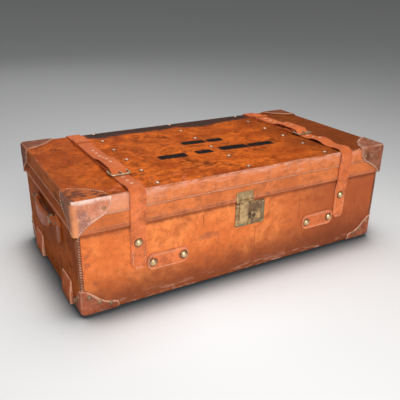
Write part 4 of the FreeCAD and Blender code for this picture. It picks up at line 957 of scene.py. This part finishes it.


# Straps
# Two bands of bridle leather, sewn and riveted low on the front, that pass up over the lid to their buckles.
# They are creased along each edge, with painted shade where they lie on the lid; the tips are punched with
# holes.

strap_leather, shader, place, (colour, rough, height) = open_hide(
    "strap_leather", (0.86, 0.235, 0.082), (0.62, 0.15, 0.05), (0.22, 0.058, 0.026), (0.74, 0.36, 0.24),
    staining=0.6, scratching=0.3, specular=0.1)
# Painted shade: the strap's colour is darker where it lies on the lid top.
shade_on_lid = place.split()[2].between(lid_top_z - 0.01, lid_top_z - 0.001)
oily = place.cloud(30.0, 6.0, 0.7, 0.4).between(0.34, 0.62)
colour = marked(colour, (shade_on_lid * 0.55, (0.46, 0.092, 0.016)), (oily * 0.3, (0.4, 0.09, 0.026)))
finished(shader, colour, rough, height, 0.0005)
bare_edge = hide("bare_edge", (0.86, 0.56, 0.4), (0.74, 0.42, 0.28), (0.45, 0.22, 0.14), (0.86, 0.6, 0.46),
                 staining=0.3, scratching=0.2, relief=0.0003)
strap_half, strap_thick = 0.019, 0.0036
half_section = [(0.0182, 0.0), (0.0189, 0.0007), (0.019, 0.0018), (0.0188, 0.0029), (0.0181, 0.0035),
                (0.017, 0.0036), (0.0163, 0.0031), (0.0156, 0.0036), (0.008, 0.00365)]
strap_section = [(-0.0182, 0.0)] + half_section + [(0.0, 0.0037)]
strap_section += [(-across, up) for across, up in reversed(half_section[1:])]
edge_from, edge_band, end_band, back_height = 0.0168, 0.0034, 0.004, 0.0006


def ramp(start, end, steps):
    """A smooth rise or fall of a strap between two level runs."""
    (y0, z0), (y1, z1) = start, end
    middle = (y0 + y1) / 2
    shares = [step / steps for step in range(1, steps + 1)]
    return [((1 - t) ** 3 * y0 + 3 * (1 - t) * t * middle + t ** 3 * y1, z0 + (z1 - z0) * t * t * (3 - 2 * t))
            for t in shares]


def bend(y, z, radius, first, last, steps):
    """Points round an arc, by angle from the horizontal."""
    turns = [math.radians(first + (last - first) * step / steps) for step in range(steps + 1)]
    return [(y + radius * math.cos(turn), z + radius * math.sin(turn)) for turn in turns]


def even(path, pitch=0.006):
    """The same line with points no further apart than the pitch."""
    line = [path[0]]
    for (y0, z0), (y1, z1) in zip(path, path[1:]):
        steps = max(1, math.ceil(math.hypot(y1 - y0, z1 - z0) / pitch))
        for step in range(1, steps + 1):
            line.append((y0 + (y1 - y0) * step / steps, z0 + (z1 - z0) * step / steps))
    return line


def strap_mesh(x, path, head_round=0.0, tail_round=0.0):
    """A strap whose inner face follows a line in side view, with its ends cut round where that is asked."""
    reached = [0.0]
    for (y0, z0), (y1, z1) in zip(path, path[1:]):
        reached.append(reached[-1] + math.hypot(y1 - y0, z1 - z0))
    body, rows, wear = bmesh.new(), [], []
    for index, (y, z) in enumerate(path):
        (ya, za), (yb, zb) = path[max(0, index - 1)], path[min(len(path) - 1, index + 1)]
        length = math.hypot(yb - ya, zb - za)
        normal = (-(zb - za) / length, (yb - ya) / length)
        narrow = at_end = 0.0
        for reach, size in ((reached[-1] - reached[index], head_round), (reached[index], tail_round)):
            if reach < size:
                narrow = max(narrow, size - math.sqrt(max(0.0, size * size - (size - reach) ** 2)))
            if size and reach < end_band:
                at_end = 1.0 - reach / end_band
        side = max(0.0, strap_half - narrow) / strap_half
        row = []
        for across, up in strap_section:
            row.append(body.verts.new((x + across * side, y + normal[0] * up, z + normal[1] * up)))
            edge = max(0.0, (abs(across) - edge_from) / edge_band) if up > back_height else 0.0
            wear.append(min(1.0, max(edge, at_end)))
        rows.append(row)
    joined(body, rows, capped=True)
    return built(body, wear)


def punched(mesh, x, path, holes):
    """The strap with its row of holes cut through, each with a pale burnished rim."""
    places = []
    for y in holes:
        for (y0, z0), (y1, z1) in zip(path, path[1:]):
            if y0 <= y <= y1 and y1 > y0:
                length = math.hypot(y1 - y0, z1 - z0)
                places.append((Vector((x, y, z0 + (z1 - z0) * (y - y0) / (y1 - y0))),
                               Vector((0, -(z1 - z0) / length, (y1 - y0) / length))))
                break
    if not places:
        return mesh
    strap = set_up("strap_blank", mesh)
    punch = set_up("punch", turned([(hole_radius, -0.004), (hole_radius, 0.01), (0.0, 0.01)], places, 14))
    cut = strap.modifiers.new("holes", "BOOLEAN")
    cut.operation, cut.solver, cut.object = "DIFFERENCE", "EXACT", punch
    holed = worked(strap)
    bpy.data.objects.remove(punch)
    lip = [(0.0, 0.003), (0.0, 0.0042), (0.0006, 0.0044), (0.0014, 0.004), (0.0016, 0.003), (0.0, 0.003)]
    body = bmesh.new()
    body.from_mesh(holed)
    count = len(body.faces)
    body.from_mesh(turned([(hole_radius + out, up) for out, up in lip], places, 14))
    body.faces.ensure_lookup_table()
    for face in body.faces[count:]:
        face.material_index = 1
    body.to_mesh(holed)
    body.free()
    return holed


def rounded_reach(path, size):
    """The same line with points close together over its last stretch, where the end is rounded."""
    (y0, z0), (y1, z1) = path[-2], path[-1]
    span = math.hypot(y1 - y0, z1 - z0)
    shares = [1 - size / span * (1 - math.sin(math.pi / 2 * step / 8)) for step in range(9)]
    return path[:-1] + [(y0 + (y1 - y0) * share, z0 + (z1 - z0) * share) for share in shares]


def bending_piece(name, mesh, first, second, start, end, *nodes):
    """Put a strap in the scene in place of the CAD pieces that it stands for, with bare edge on the rims of
    its holes.
    """
    made = set_up(name, mesh)
    mesh.name = name
    kinds = [face.material_index for face in mesh.polygons]
    mesh.materials.clear()
    for material in (strap_leather, bare_edge):
        mesh.materials.append(material)
    mesh.polygons.foreach_set("material_index", kinds)
    mesh.polygons.foreach_set("use_smooth", [True] * len(mesh.polygons))
    mesh.set_sharp_from_angle(angle=math.radians(50))
    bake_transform(made)
    if nodes:
        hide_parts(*nodes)


strap_gap, stand_off, strap_bend = 0.0003, 0.0034, 0.018
wall, top_run = -lid_high.y - strap_gap, lid_top_z + strap_gap
ride_height, land_height = top_run + 0.0129, lid_top_z + strap_thick + strap_gap
proud, high = wall - stand_off, top_run + stand_off
turn_y, turn_z = proud + strap_bend, high - strap_bend
tail_z, leave_z, join_z, cut_drop_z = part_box("strap_anchors")[0].z, 0.18, 0.215, 0.24
tail_round, tip_round, tip_curl = 0.013, 0.016, 0.005
split_y, tip_y = (corner.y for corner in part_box("strap_tip_left"))
span_cut = split_y - 0.012
hole_radius, hole_pitch, hole_margin = 0.0024, 0.026, 0.004
edge_row, end_row, row_inset = 0.0148, 0.01, 0.0042
row_foot, row_head = tail_z + 0.012, leave_z - 0.036
foot_fold, split_half, hump = (0.195, 0.215), 0.01, 0.0067
strap_at, thick_thread = 0.305, 0.0008
straps = {"left": (-strap_at, -0.128, 0.148), "right": (strap_at, -0.05, 0.168)}
for side, (x, buckle, keeper) in straps.items():
    heel = buckle + 0.017
    foot = [(wall, cut_drop_z), (wall, join_z), (base_front, leave_z), (base_front, tail_z)]
    foot = even(rounded_reach(foot, tail_round)[::-1])
    over = [(wall, cut_drop_z)] + [(y, z) for z, y in ramp((cut_drop_z, wall), (turn_z - 0.002, proud), 8)]
    over += bend(turn_y, turn_z, strap_bend, 180, 90, 12)
    knots = [(turn_y, high), (turn_y + 0.04, top_run)]
    if side == "right":
        knots += [(buckle - 0.129, top_run), (buckle - 0.085, top_run + hump), (buckle - 0.035, top_run)]
    knots += [(buckle - 0.0125, top_run), (heel - 0.0036, ride_height), (heel + 0.05, ride_height),
              (heel + 0.12, land_height), (keeper, land_height)]
    billet = [knots[0]]
    for start, end in zip(knots, knots[1:]):
        billet += ramp(start, end, 12) if abs(start[1] - end[1]) > 1e-6 else [end]
    billet += [(keeper + (tip_y - keeper) * step / 6, land_height + tip_curl * (step / 6) ** 2)
               for step in range(1, 7)]
    billet = even(billet)
    cut_at = min(point for point in billet if point[0] >= span_cut)
    over = even(over)[:-1] + [point for point in billet if point[0] < span_cut] + [cut_at]
    tip = [cut_at] + [point for point in billet if point[0] > cut_at[0]]
    tip = tip[:-4] + rounded_reach([tip[-5], tip[-1]], tip_round)[1:]
    holes = [buckle + step * hole_pitch for step in (-3, -2, -1, 2, 3, 4, 5, 6, 7)]
    drop, span = f"{side}_strap_drop", f"{side}_strap_span"
    bending_piece(f"strap_foot_{side}", strap_mesh(x, foot, tail_round=tail_round), "base", drop,
                  *((x, base_front, up) for up in foot_fold), *(["strap_anchors"] if side == "left" else []))
    near_holes = [y for y in holes if turn_y + hole_margin < y < cut_at[0] - hole_margin]
    bending_piece(f"strap_over_{side}", punched(strap_mesh(x, over), x, over, near_holes), drop, span,
                  (x, proud, turn_z), (x, turn_y, high), f"strap_drop_{side}", f"strap_span_{side}")
    far_holes = [y for y in holes if cut_at[0] + hole_margin < y]
    bending_piece(f"strap_end_{side}", punched(strap_mesh(x, tip, head_round=tip_round), x, tip, far_holes),
                  span, f"{side}_strap_tip", (x, split_y - split_half, top_run),
                  (x, split_y + split_half, top_run), f"strap_tip_{side}")
    lines = [[(x + way * edge_row, up) for up in (row_foot, row_head)] for way in (-1, 1)]
    lines.append([(x + way * end_row, tail_z + row_inset) for way in (-1, 1)])
    rows = [([(along, base_front - strap_thick, up) for along, up in line], (0, -1, 0)) for line in lines]
    sewing(f"foot_sewing_{side}", "base", rows, stitch_pitch, stitch, thick_thread, waxed_thread)


# Rear straps and keepers
# Shorter bands that run down over the back of the lid; each turns back round the buckle's bar.
# A loop of the same leather holds the strap's tip down.

rear_band = {"voxel": 0.0012, "rounds": 3, "keep": 0.35, "spread": 1, "gain": 3.0}
loop = {"voxel": 0.0008, "rounds": 4, "keep": 0.5, "spread": 1, "gain": 8.0}
for name, body, node, make in (("rear_band_left", "lid", "rear_strap_left", rear_band),
                               ("rear_band_right", "lid", "rear_strap_right", rear_band),
                               ("rear_tails", "base", "rear_strap_anchors", rear_band),
                               ("strap_loops", "lid", "strap_keepers", loop)):
    piece(name, softened(node, **make), strap_leather, body, "strap_leather", node)


# Tabs on the front
# Two short bands of bridle leather with rounded ends, sewn round and held by a rivet at each end.
# They lie beside the straps' feet and back the rivets of the inner fittings.

def round_ended(left, right, low, high, radius):
    """The outline of a band with round corners."""
    line = []
    for u, v, first in ((right - radius, low + radius, -90), (right - radius, high - radius, 0),
                        (left + radius, high - radius, 90), (left + radius, low + radius, 180)):
        line += bend(u, v, radius, first, first + 90, 6)
    return line


tab_low, tab_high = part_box("front_tabs")
tab_inner, tab_round, tab_seam = 0.176, 0.015, 0.004
rows = []
for name, sign, nodes in (("left_band", -1, ["front_tabs"]), ("right_band", 1, [])):
    left, right = sorted((sign * tab_inner, sign * tab_high.x))
    outline = round_ended(left, right, tab_low.z, tab_high.z, tab_round)
    mesh = cut_hide(outline, strap_thick, lambda u, v, lift: (u, base_front - lift, v), (0.006, 0.006),
                    ease=0.001, swell=0.0003, band=0.0018, turns=3)
    piece(name, mesh, strap_leather, "base", "strap_leather", *nodes)
    row = round_ended(left + tab_seam, right - tab_seam, tab_low.z + tab_seam, tab_high.z - tab_seam,
                      tab_round - tab_seam)
    rows.append(([(u, base_front - strap_thick, v) for u, v in row + row[:1]], (0, -1, 0)))
sewing("tab_sewing", "base", rows, stitch_pitch, stitch, thick_thread, waxed_thread)


# Strap rivets and batten studs
# Spun brass domes, dark round the rim: large ones on washers clench the straps and tabs through the boards,
# and rows of smaller copper-coloured studs clench the lid's battens.

rim_dirt_and_shade, place, given = new_pattern("rim_dirt_and_shade", ("Colour",), ("Wear", "Rim"), ("Colour",))
plain, wear, rim = given
# The rim of each head is darkened, partly as dirt and partly as painted contact shadow against the leather.
put_out(Colour=wear.between(rim, 0.02).mix(plain, (0.05, 0.03, 0.016)))


def rimmed_brass(name, *state, rim):
    """Brass rubbed bright on the crown of each head and dark round its rim, partly dirt, partly painted
    contact shadow.
    """
    material, shader, place, (colour, rough, height) = open_brass(name, *state)
    colour, = placed(rim_dirt_and_shade, place, {"Colour": colour, "Wear": wear_on(place), "Rim": rim})
    finished(shader, colour, rough, height, 0.0002)
    return material


rivet_brass = rimmed_brass("rivet_brass", (0.82, 0.59, 0.33), (0.17, 0.105, 0.05), 1.0, rim=0.16)
stud_brass = rimmed_brass("stud_brass", (0.7, 0.47, 0.35), (0.18, 0.095, 0.05), 0.8, rim=0.22)
FRONT, BACK, UP = (0, -1, 0), (0, 1, 0), (0, 0, 1)
band_face = -base_front + strap_thick
strap_rivet_z, tab_rivet_z, tab_rivets = 0.162, 0.102, (0.19, 0.27)
stud_rows, stud_line = (-0.247, 0.0, 0.247), (-0.215, -0.125, -0.035, 0.055, 0.145, 0.2215)
places = []
for sign in (-1, 1):
    places += [((sign * strap_at, way[1] * band_face, strap_rivet_z), way) for way in (FRONT, BACK)]
    places += [((sign * along, -band_face, tab_rivet_z), FRONT) for along in tab_rivets]
heads("strap_rivets", "base", rivet_brass, domed(0.01, 0.0062, 0.0009, 0.0108), places, 28, "dome_rivets")
places = [((along, across, lid_top_z - 0.0002), UP) for along in stud_rows for across in stud_line]
heads("batten_studs", "lid", stud_brass, domed(0.0063, 0.0034), places, 20, "lid_studs", slot="stud_brass")


# Handles
# Bowed grips of folded leather on each end, with dull brass collars, which swing on pins in leather chapes.
# The leather is dark and polished by hands, with paler rolled edges.

def reflected(mesh, x):
    """A copy of the mesh, seen in the trunk's middle plane where x is -1."""
    copy = mesh.copy()
    copy.transform(Matrix.Diagonal((x, 1, 1, 1)))
    if x < 0:
        copy.flip_normals()
    return copy


grip_leather = hide("grip_leather", (0.5, 0.125, 0.034), (0.3, 0.068, 0.019), (0.09, 0.022, 0.009),
                    (0.7, 0.265, 0.12), staining=0.5, scratching=0.4, specular=0.12, relief=0.0004,
                    polish=0.15)
pin_brass = brass("pin_brass", (0.44, 0.315, 0.2), (0.12, 0.078, 0.045), 0.9)
grip = softened("handle_left", voxel=0.0013, rounds=8, keep=0.4, spread=3, gain=5.0)
chape = softened("handle_chapes_left", voxel=0.0014, rounds=6, keep=0.5, spread=2, gain=5.0)
ends = {"left": -1, "right": 1}
for side, sign in ends.items():
    piece(f"grip_{side}", reflected(grip, -sign), grip_leather, f"{side}_handle", "dark_leather",
          f"handle_{side}")
for side, sign in ends.items():
    piece(f"chapes_{side}", reflected(chape, -sign), grip_leather, "base", "dark_leather",
          f"handle_chapes_{side}")
for name, sign in ends.items():
    collars = bmesh.new()
    for side in (-1, 1):
        rings = []
        for at, proud in ((0.0668, 0.0002), (0.0675, 0.0011), (0.0748, 0.0011), (0.0755, 0.0002)):
            near = [vert.co for vert in grip.vertices if abs(vert.co.y - side * at) < 0.0018]
            low, high = (Vector((limit(co.x for co in near), 0, limit(co.z for co in near)))
                         for limit in (min, max))
            centre, half = (low + high) / 2, (high - low) / 2

            def on_collar(c, s):
                """A place round the grip, on a section between round and square."""
                bulge = (abs(c) ** 3 + abs(s) ** 3) ** (-1 / 3)
                return (-sign * (centre.x + (half.x + proud) * c * bulge), side * at,
                        centre.z + (half.z + proud) * s * bulge)

            rings.append(ring(collars, 24, on_collar))
        joined(collars, rings, capped=True)
    piece(f"collars_{name}", built(collars), pin_brass, f"{name}_handle", "aged_brass")
dress(pin_brass, "handle_pins")


# Hinges
# Three iron butts on the back: their leaves are nailed to the base and the lid, and a pin joins the knuckles.
# They are dark with old oil and a little rusty.

iron, shader, place = surface("oiled_iron", metallic=0.8)
pits = place.cloud(220.0, 5.0, 0.6)
rust = place.cloud(40.0, 6.0, 0.6).between(0.5, 0.75)
finished(shader, rust.mix((0.12, 0.108, 0.098), (0.2, 0.085, 0.042)), pits.between(-0.4, 1.4), pits, 0.0002)


def metal_piece(name, node, ease, material, body, slot="aged_brass"):
    """A CAD piece in metal: its sharp edges are eased as filed metal has them, its flat faces stay flat."""
    filed = bmesh.new()
    filed.from_mesh(copied(node))
    bmesh.ops.remove_doubles(filed, verts=filed.verts[:], dist=1e-6)
    bmesh.ops.dissolve_limit(filed, angle_limit=math.radians(1.0), verts=filed.verts[:], edges=filed.edges[:])
    steep = math.radians(40)
    sharp = [edge for edge in filed.edges if edge.is_manifold and edge.calc_face_angle(0.0) > steep]
    bmesh.ops.bevel(filed, geom=sharp, offset=ease, offset_type="OFFSET", segments=2, affect="EDGES",
                    profile=0.5, clamp_overlap=True)
    bmesh.ops.recalc_face_normals(filed, faces=filed.faces[:])
    bmesh.ops.triangulate(filed, faces=[face for face in filed.faces if len(face.verts) > 4])
    made = piece(name, built(filed), material, body, slot, node)
    made.data.set_sharp_from_angle(angle=math.radians(35))


leaf_thickness, nail_row = 0.0018, (-0.02, 0, 0.02)
metal_piece("butt_base", "hinge_base_leaves", 0.0004, iron, "base", "iron")
metal_piece("butt_lid", "hinge_lid_leaves", 0.0004, iron, "lid", "iron")
dress(iron, "hinge_pins", "lock_case")
for body, face, up in (("base", -base_front, 0.183), ("lid", skirt_face, 0.234)):
    places = [((middle + aside, face + leaf_thickness, up), BACK)
              for middle in hinge_row for aside in nail_row]
    heads(f"{body}_nails", body, cap_brass, domed(0.0032, 0.0012), places, 14)


# Lock and hasp
# A pressed brass plate pinned to the front, with a dark sliding nozzle in a bead. The hasp's tongue hangs
# over it from a plate riveted to the lid. The brass is brown and dull, with green at the plate's edges.

lock_low, lock_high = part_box("lock_plate")
knob_low, knob_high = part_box("lock_nozzle")
lock_brass, shader, place, (colour, rough, height) = open_brass("lock_brass", (0.66, 0.42, 0.18),
                                                                (0.15, 0.086, 0.045), 0.9, 0.7)
x, _, z = place.split()
browned = place.cloud((60.0, 60.0, 34.0), 5.0, 0.65, 0.5).between(0.42, 0.58)
to_edge = (z - lock_low.z).maths("MINIMUM", lock_high.x - x)
verdigris = to_edge.between(0.013, 0.002) * place.cloud(75.0, 5.0, 0.7).between(0.44, 0.58)
colour = marked(colour, (browned * 0.82, (0.18, 0.1, 0.068)), (verdigris * 0.6, (0.17, 0.235, 0.135)))
finished(shader, colour, rough, height, 0.0003)
nozzle_brass = brass("nozzle_brass", (0.3, 0.195, 0.11), (0.075, 0.046, 0.03), 0.9, 0.7)
hasp_brass = brass("hasp_brass", (0.68, 0.46, 0.22), (0.24, 0.145, 0.072), 0.8, 0.7)
metal_piece("lock_face", "lock_plate", 0.0005, lock_brass, "base")
metal_piece("lock_knob", "lock_nozzle", 0.0005, nozzle_brass, "nozzle")
knob_face = ((knob_low.x + knob_high.x) / 2, knob_low.y, (knob_low.z + knob_high.z) / 2)
bead = [(0.0092, -0.0012), (0.0094, 0.0001), (0.0086, 0.0008), (0.0076, 0.0006), (0.007, -0.0002),
        (0.0068, -0.0012), (0.0092, -0.0012)]
heads("knob_bead", "nozzle", hasp_brass, bead, [(knob_face, FRONT)], 28)
metal_piece("hasp_leaf", "hasp_plate", 0.0004, hasp_brass, "lid")
metal_piece("hasp_flap", "hasp_tongue", 0.0005, hasp_brass, "hasp")
pin_inset, hasp_pin_inset = 0.006, 0.0075
places = [((along, lock_low.y, up), FRONT) for along in (lock_low.x + pin_inset, lock_high.x - pin_inset)
          for up in (lock_low.z + pin_inset, lock_high.z - pin_inset)]
heads("lock_pins", "base", rivet_brass, domed(0.0026, 0.0011), places, 14)
places = [((hasp_low.x + share * (hasp_high.x - hasp_low.x), hasp_low.y, hasp_high.z - hasp_pin_inset), FRONT)
          for share in (0.16, 0.5, 0.84)]
heads("hasp_pins", "lid", rivet_brass, domed(0.0024, 0.001), places, 14)


# Buckles
# Bent brass wire frames with a forged prong, one on each rear strap.
# The brass is dulled in clouds.

def wire_frame(centre, half_x, half_y, corner, wire):
    """Round wire bent into a rectangle with round corners."""
    line = []
    for turn in range(4):
        along, across = (half_x, half_y) if turn % 2 == 0 else (half_y, half_x)
        spin = Matrix.Rotation(math.radians(90 * turn), 3, "Z")
        local = [Vector((share * (along - corner), -across, 0)) for share in (-1, -0.5, 0, 0.5)]
        for angle in (0, math.pi / 8, math.pi / 4, 3 * math.pi / 8):
            local.append(Vector((along - corner + corner * math.sin(angle),
                                 corner - across - corner * math.cos(angle), 0)))
        line += [spin @ place + centre for place in local]
    body, rings, up = bmesh.new(), [], Vector(UP)
    for index, place in enumerate(line):
        side = (line[(index + 1) % len(line)] - line[index - 1]).normalized().cross(up)
        rings.append(ring(body, 14, lambda c, s: place + wire * (c * side + s * up)))
    joined(body, rings, closed=True)
    return built(body)


buckle_brass = brass("buckle_brass", (0.6, 0.47, 0.3), (0.19, 0.13, 0.08), 0.7)
wire_corner = 0.0036
for side in straps:
    x, buckle = straps[side][:2]
    low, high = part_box(f"buckle_frame_{side}")
    wire = (high.z - low.z) / 2
    mesh = wire_frame(Vector((x, buckle, (low.z + high.z) / 2)), (high.x - low.x) / 2 - wire,
                      (high.y - low.y) / 2 - wire, wire_corner, wire)
    piece(f"buckle_{side}", mesh, buckle_brass, "lid", "aged_brass", f"buckle_frame_{side}")
    metal_piece(f"prong_{side}", f"buckle_tongue_{side}", 0.0003, buckle_brass, f"{side}_buckle_tongue")


# Studio
# A pale sweep of floor with a painted pool of light that darkens with distance and a painted shadow below
# the trunk, soft light from the front and above, and a camera at the photograph's height and angle.

floor_half = 60
floor_mesh = bpy.data.meshes.new("floor")
floor_corners = [(a * floor_half, b * floor_half, 0) for a, b in ((-1, -1), (1, -1), (1, 1), (-1, 1))]
floor_mesh.from_pydata(floor_corners, [], [(0, 1, 2, 3)])
floor = set_up("floor", floor_mesh)
paper, shader, place = surface("backdrop_paper", roughness=0.9, specular=0.05)
# Painted light: the floor's colour is brightest near a point before the trunk and falls to grey with
# distance.
away = place.node("ShaderNodeVectorMath", {0: place, 1: (-0.18, -0.3, 0.0)}, "Value", operation="DISTANCE")
nearness = place.node("ShaderNodeMath", {0: 0.6, 1: away + 0.6}, operation="DIVIDE")
shade = node_in(place.tree, "ShaderNodeValToRGB", {0: nearness})
stops = shade.color_ramp.elements
for position, level in ((0.03, 0.29), (0.12, 0.345), (0.21, 0.4), (0.31, 0.47), (0.4, 0.58), (0.55, 0.69)):
    stops.new(position).color = (level, level, level, 1)
stops[0].color = (0.24, 0.24, 0.24, 1)
stops[-1].color = (0.805, 0.86, 0.885, 1)
# Painted shadow: the floor's colour darkens close to the trunk, within a tenth of a metre of it.
contact = place.node("ShaderNodeAmbientOcclusion", {"Distance": 0.1}, "AO", samples=16)
floor_with_painted_shadow = contact.between(0.42, 1.0).mix((0.085, 0.093, 0.098), Mark(place.tree, shade.outputs["Color"]))
place.tree.links.new(floor_with_painted_shadow.socket, shader.inputs["Base Color"])
floor_mesh.materials.append(paper)

world = bpy.data.worlds.new("studio")
bpy.context.scene.world = world
world.use_nodes = True
tree = world.node_tree
backdrop = tree.nodes["Background"].inputs
ray = node_in(tree, "ShaderNodeLightPath").outputs
seen = Mark(tree, ray["Is Camera Ray"])
for kind in ("Is Glossy Ray", "Is Transmission Ray"):
    seen = seen.maths("MAXIMUM", Mark(tree, ray[kind]))
tree.links.new(seen.mix((0.98, 0.99, 1.0), (0.3, 0.3, 0.3)).socket, backdrop["Color"])
backdrop["Strength"].default_value = 0.42


def soft_light(name, place, aim, size, power, colour=(1.0, 1.0, 1.0)):
    """A square soft box pointed at the trunk."""
    lamp = bpy.data.lights.new(name, "AREA")
    lamp.shape, lamp.size, lamp.energy, lamp.color = "SQUARE", size, power, colour
    box = set_up(name, lamp)
    box.location = place
    box.rotation_euler = (Vector(aim) - Vector(place)).to_track_quat("-Z", "Y").to_euler()


soft_light("key", (-0.5, -2.7, 1.7), (0, 0, 0.12), 1.5, 70, (1.0, 0.985, 0.96))
soft_light("overhead", (0.2, 0.3, 2.6), (0, 0, 0.2), 1.8, 34)
soft_light("rim", (0.0, 3.0, 2.0), (0, 0, 0.15), 1.5, 13)

azimuth, elevation, roll = math.radians(-29.9893), math.radians(23.0992), math.radians(0.9545)
back = Vector((math.sin(azimuth) * math.cos(elevation), -math.cos(azimuth) * math.cos(elevation),
               math.sin(elevation)))
right = Vector((math.cos(azimuth), math.sin(azimuth), 0))
up = back.cross(right)
tilt_right = math.cos(roll) * right + math.sin(roll) * up
tilt_up = math.cos(roll) * up - math.sin(roll) * right
camera = set_up("camera", bpy.data.cameras.new("camera"))
camera.data.sensor_width, camera.data.lens = 36, 45.8572
pose = Matrix((tilt_right, tilt_up, back)).transposed().to_4x4()
pose.translation = (-0.6948, -1.1821, 0.7025)
camera.matrix_world = pose
bpy.context.scene.camera = camera
bpy.context.scene.view_settings.view_transform = "Standard"
